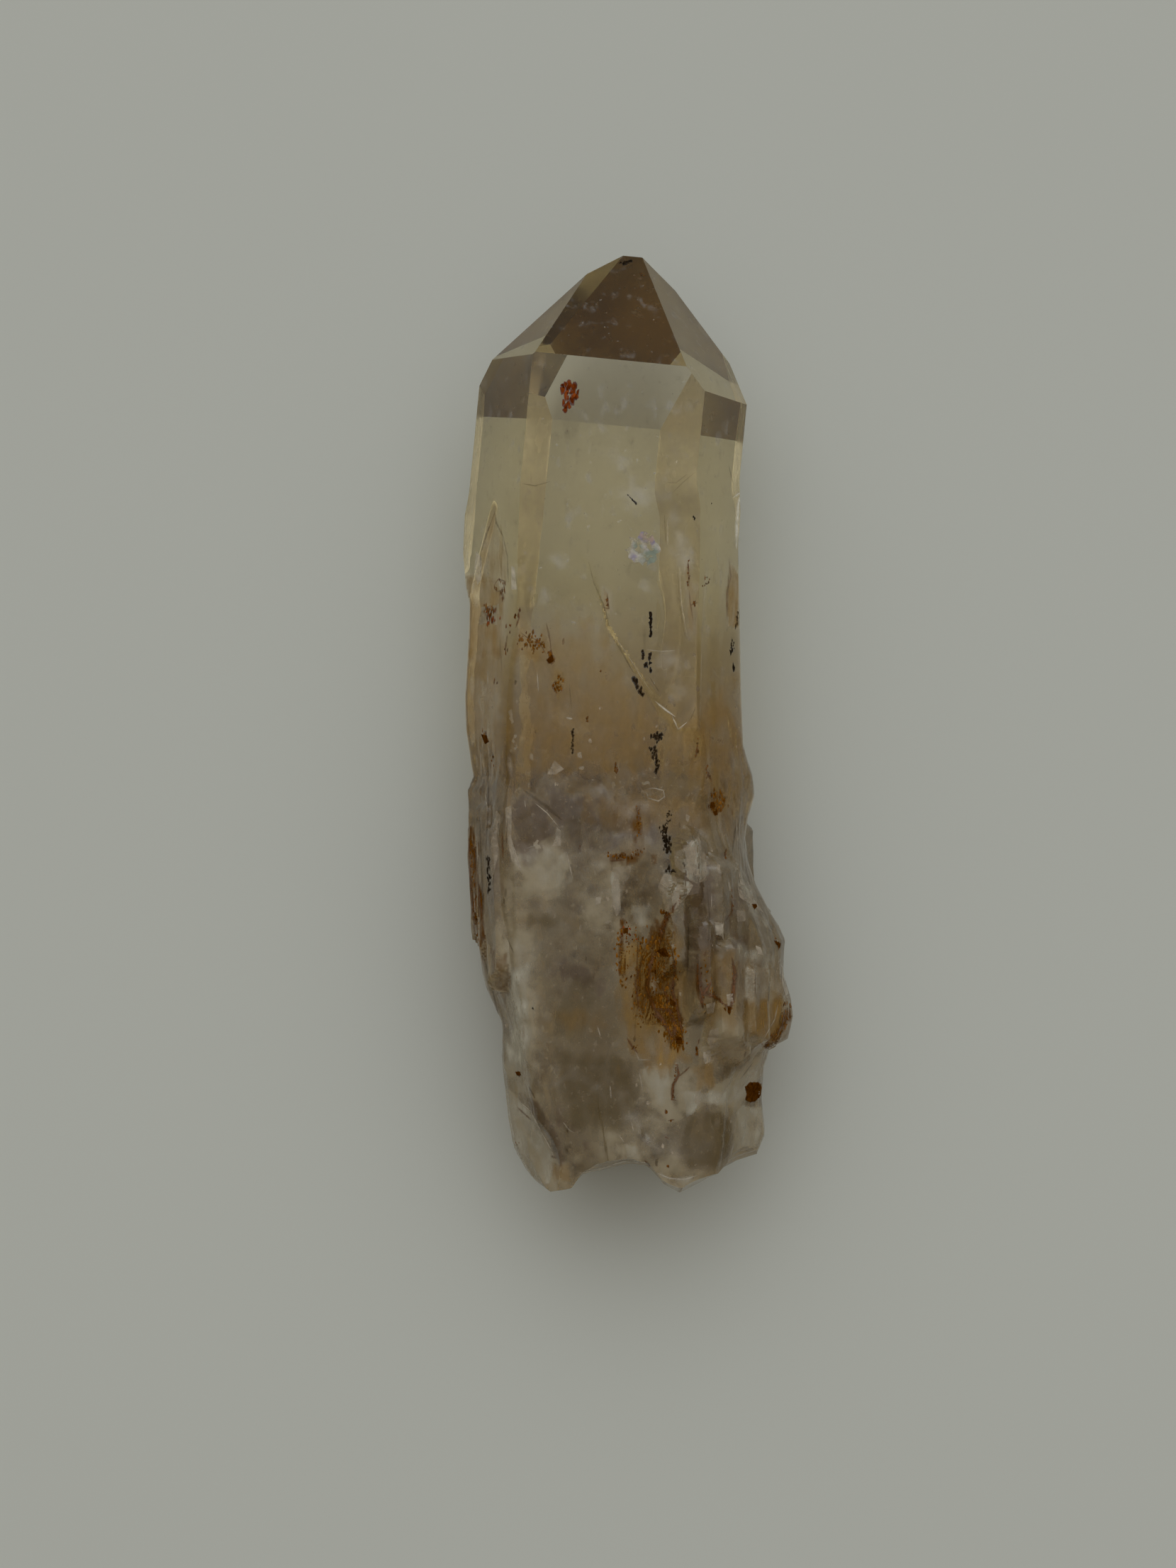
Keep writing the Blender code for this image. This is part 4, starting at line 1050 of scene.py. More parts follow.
# Painted shade: dark lines where a crack is seen edge on, and beside the lit rims of ledges and edges.
PAINTED_SHADE_EDGES = [
    (0.3, 0.6, (-10.1, -6.2), (-9, -7), (-7.6, -8), (-6.3, -9.2)),
    (0.16, 0.6, (-12.6, 19.7), (-12.4, 18.6), (-11.7, 17.2)),
    (0.14, 0.5, (-12.6, 19.6), (-13.4, 17.4), (-13.9, 15.8), (-13.9, 13.8)),
    (0.12, 0.5, (-11.8, 17.4), (-11.4, 15.6), (-11.3, 13)),
    (0.14, 0.5, (-10, 22.3), (-8.8, 22.1), (-7.4, 22.5)),
    (0.14, 0.45, (-3.8, 15), (-3.3, 13), (-2.4, 11), (-1.8, 8.8)),
    (0.18, 0.5, (-1.9, 8.6), (-0.6, 6.4), (0.4, 4.6)), (0.12, 0.5, (1.9, 4.2), (2.8, 2.8)),
    (0.12, 0.5, (3.3, 19.4), (3.4, 16.8)), (0.12, 0.4, (4.5, 14.6), (4.7, 11), (5.2, 8)),
    (0.14, 0.4, (3.5, 22.4), (4.4, 22.4), (5.4, 23.2)), (0.14, 0.5, (6.2, 1.4), (5.7, 0.1)),
    (0.12, 0.4, (4, 21.4), (5, 22.4), (6.2, 23.4)), (0.1, 0.4, (9.3, 24), (9.7, 22.2)),
    (0.1, 0.4, (-5.6, 3.6), (-5.4, 1.2)), (0.14, 0.6, (-9.4, -34.1), (-8.8, -35.2)),
    (0.12, 0.5, (-11.6, -19.8), (-10.8, -21.6)), (0.14, 0.5, (-12.2, -8), (-12.2, -10.4)),
    (0.16, 0.5, (-13.2, -3), (-13.2, -8), (-13.4, -12)), (0.16, 0.5, (-14, -8), (-13.9, -12), (-13.6, -18)),
    (0.12, 0.5, (-11.4, -9), (-11.5, -12)), (0.12, 0.6, (9.1, -11.8), (8.9, -12.4)),
    (0.18, 0.6, (6.6, -22.4), (6.5, -24.6), (6.9, -26.6)), (0.16, 0.6, (5.6, -19), (5.4, -24)),
    (0.12, 0.5, (13.1, -24.4), (13, -26.2)), (0.12, 0.5, (14.3, -26.6), (14, -28.4)),
    (0.1, 0.5, (11.6, -31.8), (10.4, -33.4)), (0.14, 0.5, (10, -9.4), (9.6, -12.4)),
    (0.14, 0.4, (7.3, -15.4), (7.5, -18), (7.4, -21)), (0.14, 0.5, (-4.8, -42.9), (-3.8, -42.8)),
    (0.1, 0.5, (-6, -39.8), (-5.4, -40.6)), (0.14, 0.5, (10.3, 10.6), (10.2, 9)),
    (0.12, 0.4, (9.4, 15), (9.2, 12.4), (9.2, 9.4)), (0.12, 0.4, (-12.1, 8), (-11.9, 4.6)),
    (0.1, 0.4, (-7.8, 9.4), (-7.4, 8)), (0.14, 0.5, (-13.9, -21), (-12.8, -25), (-11.9, -29)),
]
RUSTY_EDGES = [
    (0.28, 1.1, (4.5, -32), (4.6, -33), (4.1, -34), (4, -35.3), (4.4, -35.4)),
    (0.14, 0.8, (4.6, -33.2), (5.2, -32.7), (5.7, -32.2)),
    (0.2, 0.9, (-0.2, -29.6), (0.3, -30.4), (0.8, -31)), (0.5, 1.2, (6.4, -22.6), (6.6, -25), (6.9, -26.8)),
    (0.4, 1.2, (7.7, -24.3), (7, -25.4), (8, -25.7), (8.9, -26.4)),
    (0.4, 1.2, (9.6, -22), (9.9, -23.6), (9.7, -25.8), (9.4, -27.2)),
    (0.36, 1.1, (8.9, -26.4), (9.6, -26.9)),
    (0.5, 1.1, (4.4, -16.9), (3.6, -18.2), (3.1, -19.4), (2.8, -21)),
    (0.4, 1, (2.9, -20.8), (2, -22.6), (1.6, -24.8), (2.2, -26.6), (3.2, -28), (4, -29.4), (4.8, -30.2)),
    (0.3, 0.9, (4, -21.2), (4.3, -23.2), (4, -25), (4.6, -27.2), (5.1, -29.8)),
    (0.2, 0.7, (1.2, -22), (0.6, -24.4), (0.9, -27)), (0.22, 0.8, (3, -24.6), (3.7, -26), (3.1, -27.4)),
    (0.45, 1, (2.6, -26.8), (3.8, -27), (4.4, -28.6), (4, -30)), (0.2, 0.8, (2, -27.2), (3.2, -28)),
    (0.16, 0.9, (3.4, -36.2), (3.4, -36.7)), (0.12, 0.9, (3.6, -37.3), (4.2, -37.2)),
    (0.14, 0.8, (9.6, -16.6), (9.6, -17.8), (9, -18.6)), (0.16, 0.8, (9.1, -11.8), (8.9, -12.6)),
    (0.16, 0.8, (14.6, -26.6), (14.3, -28.4), (13.2, -30.2)), (0.14, 0.8, (13.6, -29), (12.6, -30.4)),
    (0.2, 0.7, (1.4, -41), (2, -41.6)), (0.12, 0.7, (3.3, -38.8), (3.7, -39)),
    (0.2, 0.7, (-7.3, -40.6), (-6.8, -40.8)),
    (0.12, 0.8, (-12.7, 12.7), (-12.2, 13.4), (-11.7, 13.2), (-11.7, 12.4), (-12.3, 12.2), (-12.7, 12.6)),
    (0.14, 0.8, (5.5, 15.2), (5.6, 12.6)), (0.1, 0.7, (5.6, 12.4), (5.7, 11.2), (6, 9.4)),
    (0.1, 0.8, (5.7, 10.9), (6.4, 11.2)), (0.1, 0.7, (9.3, 15.4), (9.5, 13.6), (9.1, 12), (9.1, 9.4)),
    (0.12, 0.7, (-7.8, 9.3), (-7.4, 7.6), (-7.3, 6.4)),
    (0.16, 0.8, (-10.4, 10.6), (-10.3, 9.8), (-10.6, 8.8)), (0.16, 0.7, (-11.4, 8.2), (-11.6, 6.6)),
    (0.2, 0.8, (-11.9, 12.2), (-11.7, 11.4)), (0.1, 0.7, (-10.2, 8.4), (-9.4, 7.8), (-9.6, 6.8)),
    (0.1, 0.7, (-9.2, 8), (-8.4, 7.4), (-7.8, 6.4)), (0.16, 0.8, (7.2, -4.4), (7.7, -5.6)),
    (0.16, 0.7, (6.4, -2), (6.2, -3.4)), (0.14, 0.7, (-2.1, 12), (-1.9, 10.6), (-2.4, 10.7)),
    (0.3, 0.8, (-15, -11), (-14.9, -14), (-14.7, -17), (-14.3, -21)),
    (0.16, 0.7, (-14.4, -11), (-14.2, -15), (-13.6, -19)), (0.16, 0.7, (-11.9, -10), (-11.8, -12.8)),
    (0.16, 0.6, (0.7, -7.9), (0.9, -9.4)), (0.16, 0.7, (-1.8, -13), (-0.4, -12.9)),
    (0.14, 0.6, (0.8, -20.4), (0.7, -23), (1, -25.6)), (0.14, 0.6, (-0.7, -19.6), (-0.9, -22)),
    (0.14, 0.6, (2.6, -19.6), (2, -22.4)), (0.14, 0.6, (1.8, -24), (1.7, -26.2)),
    (0.14, 0.7, (3.4, -24), (4.2, -25.8)), (0.14, 0.7, (7, -22), (7.2, -21.4)),
    (0.14, 0.7, (4.2, -24.2), (4.2, -25.2)), (0.14, 0.6, (-10.5, -36), (-9, -37.4)),
    (0.1, 0.6, (-13.9, 10.2), (-13, 10.9), (-12.4, 10.4)),
]
PALE_QUARTZ = ("95856e", "bfae97")
CRACK_SHADE = ("41321b", "5f4b2b")
RUSTY_CRACK = ("3a1c02", "7a4a14")
# White mixed in by how white a film is: the plates' own whiteness, and a painted highlight on the bright
# edges.
WHITE_AND_HIGHLIGHT = "f2eee2"
FILM_GRAIN = (0.35, 0.65)
FILM_DETAIL = 5.0
FILM_ROUGHNESS = 0.35
DRAPED_LIFT = 0.03
DRAPED_STEP = 0.15
HANGING_FROM = 0.15
PLATE_RINGS = (0.33, 0.66, 1)
ACROSS_LINE = (-1.3, -0.6, 0.0, 0.6, 1.3)
LINE_END = 0.15
LINE_TAPER = 4
LINE_FADE = 0.7
ALONG_ROOT = (0.07, 1, 0)
RAGGED_TURN = 0.3
RAGGED_REACH = (0.55, 1.1)
SLIVER_COUNT = 360
SLIVER_RADII = (0.08, 0.42)
SLIVER_DEPTHS = (0.05, 0.5)
SLIVER_TILT = 0.5
SLIVER_STRETCH = 1.7
SLIVERS_BELOW_Y, SLIVERS_ABOVE_Y = 10.0, -42.5
FEWER_SLIVERS_Y = (10.0, -4.0)
SURFACE_FLECKS, PAINTED_SHADE_FLECKS, RUSTY_FLECKS = 320, 160, 60
FLECK_RADII = (0.06, 0.24)
FLECK_DEPTHS = (0.0, 0.0)
FLECK_TILT = 0.1
PALE_STRETCH, DARK_STRETCH = 1.8, 3.0
FLECK_SIDES = (4, 5, 5, 6)
FLECK_COVERS = (0.15, 0.9)
STANDS_OUT = 0.03
LOWEST_FLECK_Z = 0.5
CORE_X = (0.75, 0.065)
CORE_Z = 9.5


def skin_from_above(x, y):
    """The point and normal where the camera's ray through this place meets the crystal, in millimetres."""
    eye = Vector((*CAMERA_XY, CAMERA_Z)) * MM
    towards = (Vector((x, y, FRONT_Z)) * MM - eye).normalized()
    point, normal, _, _ = citrine_skin.ray_cast(eye, towards)
    return (point / MM, normal) if point else (None, None)


def skin_from_core(y, turn):
    """The point and normal where a ray turned round the crystal's core leaves it, in millimetres."""
    core = Vector((CORE_X[0] + CORE_X[1] * y, y, CORE_Z)) * MM
    out = Vector((math.sin(turn), 0, math.cos(turn)))
    point, normal, _, _ = citrine_skin.ray_cast(core, out)
    return (point / MM, normal) if point else (None, None)


def inside(point, margin):
    """Whether a point lies under the crystal's surface by more than a margin, all in millimetres."""
    on_skin, normal, _, _ = citrine_skin.find_nearest(point * MM)
    return (point - on_skin / MM).dot(normal) < -margin


def ragged_ring(centre, normal, radius, stretch, sides, rng):
    """An irregular outline round a point, at right angles to the normal and longer along the crystal."""
    along = Vector(ALONG_ROOT)
    along = (along - along.dot(normal) * normal).normalized()
    across = normal.cross(along)
    ring = []
    for k in range(sides):
        turn = (k + rng.uniform(-RAGGED_TURN, RAGGED_TURN)) * 2 * math.pi / sides
        size = radius * rng.uniform(*RAGGED_REACH)
        ring.append(centre + across * math.cos(turn) * size + along * math.sin(turn) * size * stretch)
    return ring


def tilted(normal, most, rng):
    """A direction that leans away from the normal by at most about this much on each axis."""
    return (normal + Vector([rng.uniform(-1, 1) for _ in range(3)]) * most).normalized()


def add_film(bm, middle, rings, covers):
    """A flat film as rings round its middle. Each ring covers what lies behind it by its own amount."""
    cover = bm.verts.layers.float["cover"]
    centre = bm.verts.new(middle * MM)
    centre[cover] = covers[0]
    inner = None
    for ring, amount in zip(rings, covers):
        verts = [bm.verts.new(p * MM) for p in ring]
        for vert in verts:
            vert[cover] = amount
        for k, vert in enumerate(verts):
            after = (k + 1) % len(verts)
            if inner is None:
                bm.faces.new((centre, vert, verts[after]))
            else:
                bm.faces.new((inner[k], vert, verts[after], inner[after]))
        inner = verts


def film_object(name, bm, material):
    """An object in the scene with these films in this material."""
    films = scene_object(name, bm)
    films.data.materials.append(material)
    return films


def middle_of(outline):
    """The average of an outline's points."""
    return sum(outline, Vector((0, 0))) / len(outline)


def finely(points, closed):
    """The same line of points with more of them, so that it can follow the crystal's surface."""
    points = [Vector(p) for p in points]
    finer = []
    for here, there in zip(points, points[1:] + points[:1] if closed else points[1:]):
        parts = max(1, math.ceil((there - here).length / DRAPED_STEP))
        finer += [here.lerp(there, k / parts) for k in range(parts)]
    return finer if closed else finer + [points[-1]]


def on_surface(x, y):
    """The place on the surface that the camera sees here, a hair above it."""
    point, normal = skin_from_above(x, y)
    if point is None:
        point, normal, _, _ = citrine_skin.find_nearest(Vector((x, y, FRONT_Z / 2)) * MM)
        point /= MM
    return kept_in(point + normal * DRAPED_LIFT, solid_box_mm)


def drop_hanging(bm):
    """Leaves out the faces of a film that would hang in the air across a fold of the surface."""
    far = HANGING_FROM * MM
    hanging = [f for f in bm.faces if citrine_skin.find_nearest(f.calc_center_median())[3] > far]
    bmesh.ops.delete(bm, geom=hanging, context="FACES")


def add_plate(bm, cover, bright, outline):
    """A film with a clear outline on the surface."""
    outer = finely(outline, True)
    centre = middle_of(outer)
    rings = [[on_surface(*centre.lerp(p, share)) for p in outer] for share in PLATE_RINGS]
    first = len(bm.verts)
    add_film(bm, on_surface(*centre), rings, [cover] * 3)
    bm.verts.ensure_lookup_table()
    for vert in bm.verts[first:]:
        vert[bm.verts.layers.float["bright"]] = bright


def add_line(bm, width, cover, bright, line):
    """A narrow film along a line on the surface, fading to both sides and thinner towards both ends."""
    line = finely(line, False)
    rows = []
    for k, here in enumerate(line):
        along = (line[min(k + 1, len(line) - 1)] - line[max(k - 1, 0)]).normalized()
        share = k / (len(line) - 1)
        full = min(1, LINE_TAPER * share, LINE_TAPER * (1 - share))
        across = Vector((-along.y, along.x)) * (0.5 * width * (LINE_END + (1 - LINE_END) * full))
        rows.append([bm.verts.new(on_surface(*(here + aside * across)) * MM) for aside in ACROSS_LINE])
        for vert, aside in zip(rows[-1], ACROSS_LINE):
            vert[bm.verts.layers.float["cover"]] = cover * (1 - LINE_FADE * abs(aside))
            vert[bm.verts.layers.float["bright"]] = bright
    for row, next_row in zip(rows, rows[1:]):
        for k in range(len(row) - 1):
            bm.faces.new((row[k], row[k + 1], next_row[k + 1], next_row[k]))


def empty_films():
    """A mesh for films, which keeps for each point how much it covers and how white it is."""
    bm = bmesh.new()
    for name in ("cover", "bright"):
        bm.verts.layers.float.new(name)
    return bm


def scatter_fleck(bm, rng, radii, depths, tilt, stretch):
    """A small ragged fleck somewhere on the root, left out where it would stand out of the surface."""
    y = rng.uniform(SLIVERS_ABOVE_Y, SLIVERS_BELOW_Y)
    point, normal = skin_from_core(y, rng.uniform(-math.pi, math.pi))
    centre = point - normal * (rng.uniform(*depths) - STANDS_OUT / 2)
    facing = tilted(normal, tilt, rng)
    ring = ragged_ring(centre, facing, rng.triangular(*radii), stretch, rng.choice(FLECK_SIDES), rng)
    cover = rng.uniform(*FLECK_COVERS)
    kept = rng.random() < ramp_down(y, *FEWER_SLIVERS_Y)
    if kept and centre.z > LOWEST_FLECK_Z and all(inside(p, -STANDS_OUT) for p in [centre, *ring]):
        add_film(bm, centre, [ring], [cover])


def edge_lines(lines, flecks, seed):
    """The given lines, and short flecks scattered over the root."""
    rng = random.Random(seed)
    bm = empty_films()
    for width, cover, *line in lines:
        add_line(bm, width, cover, 0, line)
    drop_hanging(bm)
    for _ in range(flecks):
        scatter_fleck(bm, rng, FLECK_RADII, FLECK_DEPTHS, FLECK_TILT, DARK_STRETCH)
    return bm


def healed_cracks_and_highlights():
    """The pale plates and the painted highlights of the bright edges, with slivers and flecks scattered over
    the root.
    """
    rng = random.Random(7)
    bm = empty_films()
    for cover, bright, *outline in PLATES:
        add_plate(bm, cover, bright, outline)
    for width, cover, bright, *line in PAINTED_HIGHLIGHT_EDGES:
        add_line(bm, width, cover, bright, line)
    drop_hanging(bm)
    for _ in range(SLIVER_COUNT):
        scatter_fleck(bm, rng, SLIVER_RADII, SLIVER_DEPTHS, SLIVER_TILT, SLIVER_STRETCH)
    for _ in range(SURFACE_FLECKS):
        scatter_fleck(bm, rng, FLECK_RADII, FLECK_DEPTHS, FLECK_TILT, PALE_STRETCH)
    return bm


def film(name, colours, grain_mm, least, most, glossy=0.5, drawn_out=1.0):
    """Fine dust on a crack, in grains of this size between two colours, thin enough to see through in places.
    The grains may be drawn out along the crystal. least and most say how far it covers what lies behind."""
    material, tree, output = empty_material(name)
    cover = add_node(tree, "ShaderNodeAttribute", attribute_name="cover").outputs["Fac"]
    where = add_node(tree, "ShaderNodeTexCoord").outputs["Object"]
    shrunk = add_node(tree, "ShaderNodeVectorMath", {0: where, 1: (1, 1 / drawn_out, 1)},
                      operation="MULTIPLY")
    grain = add_node(tree, "ShaderNodeTexNoise", {
        "Vector": shrunk.outputs["Vector"], "Scale": 1 / (grain_mm * MM), "Detail": FILM_DETAIL})
    tint = add_node(tree, "ShaderNodeMix", {
        "Factor": grain.outputs["Fac"], "A": linear(colours[0]), "B": linear(colours[1])}, data_type="RGBA")
    # How white: the pale plates' own whiteness, and on the bright edges a painted highlight.
    bright = add_node(tree, "ShaderNodeAttribute", attribute_name="bright").outputs["Fac"]
    tint = add_node(tree, "ShaderNodeMix", {
        "Factor": bright, "A": tint.outputs["Result"], "B": linear(WHITE_AND_HIGHLIGHT)}, data_type="RGBA")
    spread = add_node(tree, "ShaderNodeMapRange", {
        "Value": grain.outputs["Fac"], "From Min": FILM_GRAIN[0], "From Max": FILM_GRAIN[1], "To Min": least,
        "To Max": most})
    alpha = add_node(tree, "ShaderNodeMath", {0: spread.outputs["Result"], 1: cover}, operation="MULTIPLY",
                     use_clamp=True)
    surface = add_node(tree, "ShaderNodeBsdfPrincipled", {
        "Base Color": tint.outputs["Result"], "Roughness": FILM_ROUGHNESS, "Specular IOR Level": glossy,
        "Alpha": alpha.outputs[0]})
    tree.links.new(surface.outputs["BSDF"], output.inputs["Surface"])
    return material


citrine_skin = BVHTree.FromPolygons(
    [v.co for v in citrine.data.vertices], [p.vertices for p in citrine.data.polygons])
solid_box_mm = [[at / MM for at in corner] for corner in solid_box]
# The pale plates and slivers, and the painted highlights of the bright edges.
cracks = film_object("healed_cracks_and_highlights", healed_cracks_and_highlights(), film(
    "healed crack, pale and half clear, with painted highlights", PALE_QUARTZ, grain_mm=0.6, least=0.6, most=1.2))
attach(cracks, "root")
# Painted shade: dark lines and flecks of cracks seen edge on.
shaded = film_object("cracks_in_painted_shade", edge_lines(PAINTED_SHADE_EDGES, PAINTED_SHADE_FLECKS, seed=8), film(
    "crack seen edge on, in shadow", CRACK_SHADE, grain_mm=0.6, least=0.6, most=1.2))
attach(shaded, "root")
rusted = film_object("rusty_cracks", edge_lines(RUSTY_EDGES, RUSTY_FLECKS, seed=9), film(
    "rust drawn into a crack", RUSTY_CRACK, grain_mm=0.5, least=0.5, most=1.3))
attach(rusted, "root")

# Stains and films: iron from outside stained the etched skin rust-brown and tan, and milky and smoky quartz
# lies just under it. Each is a thin film over its outline, on the surface, that frays out along the crystal.
MILKY_FILMS = [
    (0.45, 1, (-14.6, 4), (-12.4, 4), (-12.6, -2), (-14.6, -2)),
    (0.7, 1, (-11, -22.6), (-9.6, -22.8), (-9.2, -27), (-9.3, -31), (-10, -33.6), (-11.4, -31),
     (-11.4, -27)),
    (0.14, 1.2, (-12, -20), (-8.4, -20), (-7.6, -28), (-8, -34), (-11.6, -34)),
    (0.4, 0.3, (-12.4, -33.6), (-10.4, -35.2), (-9.2, -36.3), (-8.3, -38.2), (-7.4, -39.8), (-6.9, -41.2),
     (-7.4, -43.4), (-9.6, -42.6), (-12.2, -38)),
    (0.2, 0.6, (-10.2, -12.4), (-8.2, -11.6), (-6.4, -12.4), (-5.6, -14), (-6.6, -15.6), (-9, -15)),
    (0.25, 0.4, (-6.8, -12.4), (-5.8, -12.2), (-5.3, -14.6), (-5.8, -16), (-6.8, -15)),
    (0.4, 0.15, (6.5, -10.6), (6.7, -11.6), (7.2, -12.6), (7.3, -14.2), (6.3, -15.1), (5.6, -14.8),
     (4.4, -13.7), (4.2, -12.1), (5.2, -11.8)),
    (0.5, 0.15, (3.2, -14.2), (4, -14.3), (5.6, -14.9), (6, -15.3), (5.4, -16.3), (3.9, -17.9),
     (3.1, -16.4)),
    (0.4, 0.5, (4.6, -34.4), (6.6, -34.6), (9, -34.4), (12.4, -31.6), (12.4, -33), (9.6, -36),
     (7.2, -35.7), (5.4, -36.9)),
    (0.4, 0.3, (10, -36.4), (10.6, -35.9), (12.6, -36.2), (12.4, -39.6), (10.4, -40.2), (10.3, -38.6)),
    (0.3, 0.6, (0.9, -32.4), (3.6, -32.4), (4.2, -35.6), (2.4, -36)),
    (0.4, 0.4, (-0.4, -39.4), (0.6, -39.6), (1.2, -41.2), (-0.6, -41.4)),
    (0.4, 0.3, (-1.6, -14), (-0.9, -14.2), (-0.8, -17.6), (-1.4, -18.4), (-1.8, -16.4)),
    (0.3, 0.5, (0.2, -17), (2, -17.2), (1.6, -19.2), (0.2, -18.8)),
    (0.35, 0.4, (10.4, -13.4), (10.9, -15), (12.6, -18), (13.4, -19.6), (11.8, -18.4), (10.4, -16.4)),
    (0.45, 0.9, (10.2, -21), (13.8, -21.6), (13.8, -25), (12, -26.4), (10.4, -26)),
    (0.3, 0.6, (2.4, -42.2), (4, -42.8), (6, -42.6), (5.2, -43.4)),
]
SMOKY_FILMS = [
    (0.2, 1.15, (-6.8, -30.4), (-4.5, -31), (-1, -31), (0.8, -31.8), (1, -34), (0.2, -36.8),
     (-1.6, -38.4), (-5, -38.4), (-6.8, -35)),
    (0.2, 0.65, (5, -38), (5.9, -36.9), (7.2, -36.3), (8.6, -36.5), (9.6, -37.4), (9.9, -38.8),
     (9.4, -40.6), (8, -41.6), (5.6, -41.6), (4.4, -40.4)),
    (0.17, 0.85, (-6, -24.4), (-3.6, -23.4), (-2.6, -26), (-4.4, -30.4), (-7.4, -29.4)),
    (0.1, 0.7, (-10.8, -8.8), (-10, -8), (-8.9, -8.2), (-7.9, -9), (-7.2, -10.6), (-8.2, -11.2),
     (-9.6, -11.7), (-10.7, -11.2)),
    (0.17, 0.85, (-9.8, -34.9), (-8.6, -35.4), (-7, -37.8), (-5.6, -41), (-6.5, -41.6), (-7.3, -39.6),
     (-9.4, -36.2)),
    (0.1, 0.85, (5, -17.4), (6.2, -16), (6.4, -21.6), (5.8, -27.6), (5, -26), (4.6, -21)),
    (0.17, 0.65, (-9.6, -17.9), (-6.4, -18.1), (-6.2, -19.4), (-9.4, -19.2)),
    (0.12, 1.55, (-6.4, -9.2), (-1.4, -7.6), (0.2, -10.8), (-1.8, -12.4), (-5.6, -12.4)),
    (0.06, 1.35, (6.8, -16), (9.6, -16), (12.4, -20), (13, -24), (7, -22)),
    (0.15, 0.95, (8.6, -31.4), (10.6, -31.2), (9.6, -33.6), (8, -33.4)),
]
RUST_STAIN = ("341c00", "7e4e10")
TAN_STAIN = ("946a2c", "a88a56")
MILKY_FILM = ("b4ac98", "d6d0c0")
SMOKY_FILM = ("4a3a08", "5c4a12")
STAIN_STEP = 0.15
STAIN_LIFT = 0.015
STAIN_FRAY = 0.6
FRAY_MM = (0.9, 2.6)
THINNEST_STAIN = 0.02
STEEPEST_STAIN = 2.0


def add_stain(bm, cover, softness, outline):
    """A film over one stained place, as a grid that lies on the surface and frays out towards its edge."""
    low, high = np.min(outline, axis=0) - softness, np.max(outline, axis=0) + softness
    xs, ys = (np.arange(a, b + STAIN_STEP, STAIN_STEP) for a, b in zip(low, high))
    places = np.array([(x, y) for y in ys for x in xs])
    streaks = np.array([0.5 + noise.noise(Vector((x / FRAY_MM[0], y / FRAY_MM[1], 0))) for x, y in places])
    stained = patch_marks(places, [(1, softness, *outline)])
    frayed = np.clip((1 + STAIN_FRAY) * stained - 2 * STAIN_FRAY * streaks, 0, 1)
    covers = (cover * frayed).reshape(len(ys), len(xs))
    grid = {}
    for row, column in zip(*np.nonzero(covers > THINNEST_STAIN)):
        point, normal = skin_from_above(xs[column], ys[row])
        if point is not None and point.z > SEEN_FROM_Z[1]:
            on_skin = bm.verts.new(kept_in(point + normal * STAIN_LIFT, solid_box_mm) * MM)
            on_skin[bm.verts.layers.float["cover"]] = covers[row, column]
            grid[row, column] = on_skin
    for row, column in grid:
        around = ((row, column), (row, column + 1), (row + 1, column + 1), (row + 1, column))
        corners = [grid.get(corner) for corner in around]
        if None not in corners:
            heights = [v.co.z / MM for v in corners]
            if max(heights) - min(heights) < STEEPEST_STAIN:
                bm.faces.new(corners)


def stain_films(patches):
    """Smooth films over all the given places, with nothing that hangs in the air."""
    bm = empty_films()
    for cover, softness, *outline in patches:
        add_stain(bm, cover, softness, outline)
    drop_hanging(bm)
    bmesh.ops.delete(bm, geom=[v for v in bm.verts if not v.link_faces], context="VERTS")
    for face in bm.faces:
        face.smooth = True
    return bm


for name, patches, finish in (
    ("rust_stains", RUST_STAINS, film("rust stain, dull and patchy", RUST_STAIN, grain_mm=0.5,
                                      least=0.3, most=1.5, glossy=0.0, drawn_out=2.5)),
    ("tan_stains", TAN_STAINS, film("iron stain, thin and tan", TAN_STAIN, grain_mm=0.9,
                                    least=0.5, most=1.3, glossy=0.0, drawn_out=2.5)),
    ("milky_films", MILKY_FILMS, film("milky quartz just under the surface", MILKY_FILM, grain_mm=1.0,
                                      least=0.5, most=1.3, glossy=0.0, drawn_out=1.8)),
    ("smoky_films", SMOKY_FILMS, film("smoky quartz just under the surface", SMOKY_FILM, grain_mm=1.5,
                                      least=0.7, most=1.1, glossy=0.0)),
):
    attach(film_object(name, stain_films(patches), finish), "root")

# Clouds: thin curved veils of tiny bubbles, up to 6 mm deep, make the root milky. They crowd together where
# it is white, and leave out the smoky places, which show clear brown quartz below.
VEIL_COUNT = 1500
VEIL_RADII = (0.5, 2.0)
VEIL_DEPTHS = (0.3, 6.0)
SHALLOW_POWER = 1.6
VEIL_MARGIN = 0.1
VEIL_TILT = 0.7
VEIL_BULGE = 0.3
VEIL_STRETCHES = (0.8, 1.6)
VEIL_SIDES = 9
VEIL_RINGS = (0.4, 0.75, 1)
VEIL_COVERS = (0.7, 0.45, 0.0)
VEILS_BELOW_Y, VEILS_ABOVE_Y = 2.0, -43.0
FEWER_VEILS_Y = (2.0, -9.0)
PLAIN_CLOUDS, MILKY_CLOUDS, SMOKY_CLOUDS = 0.3, 0.8, 0.9


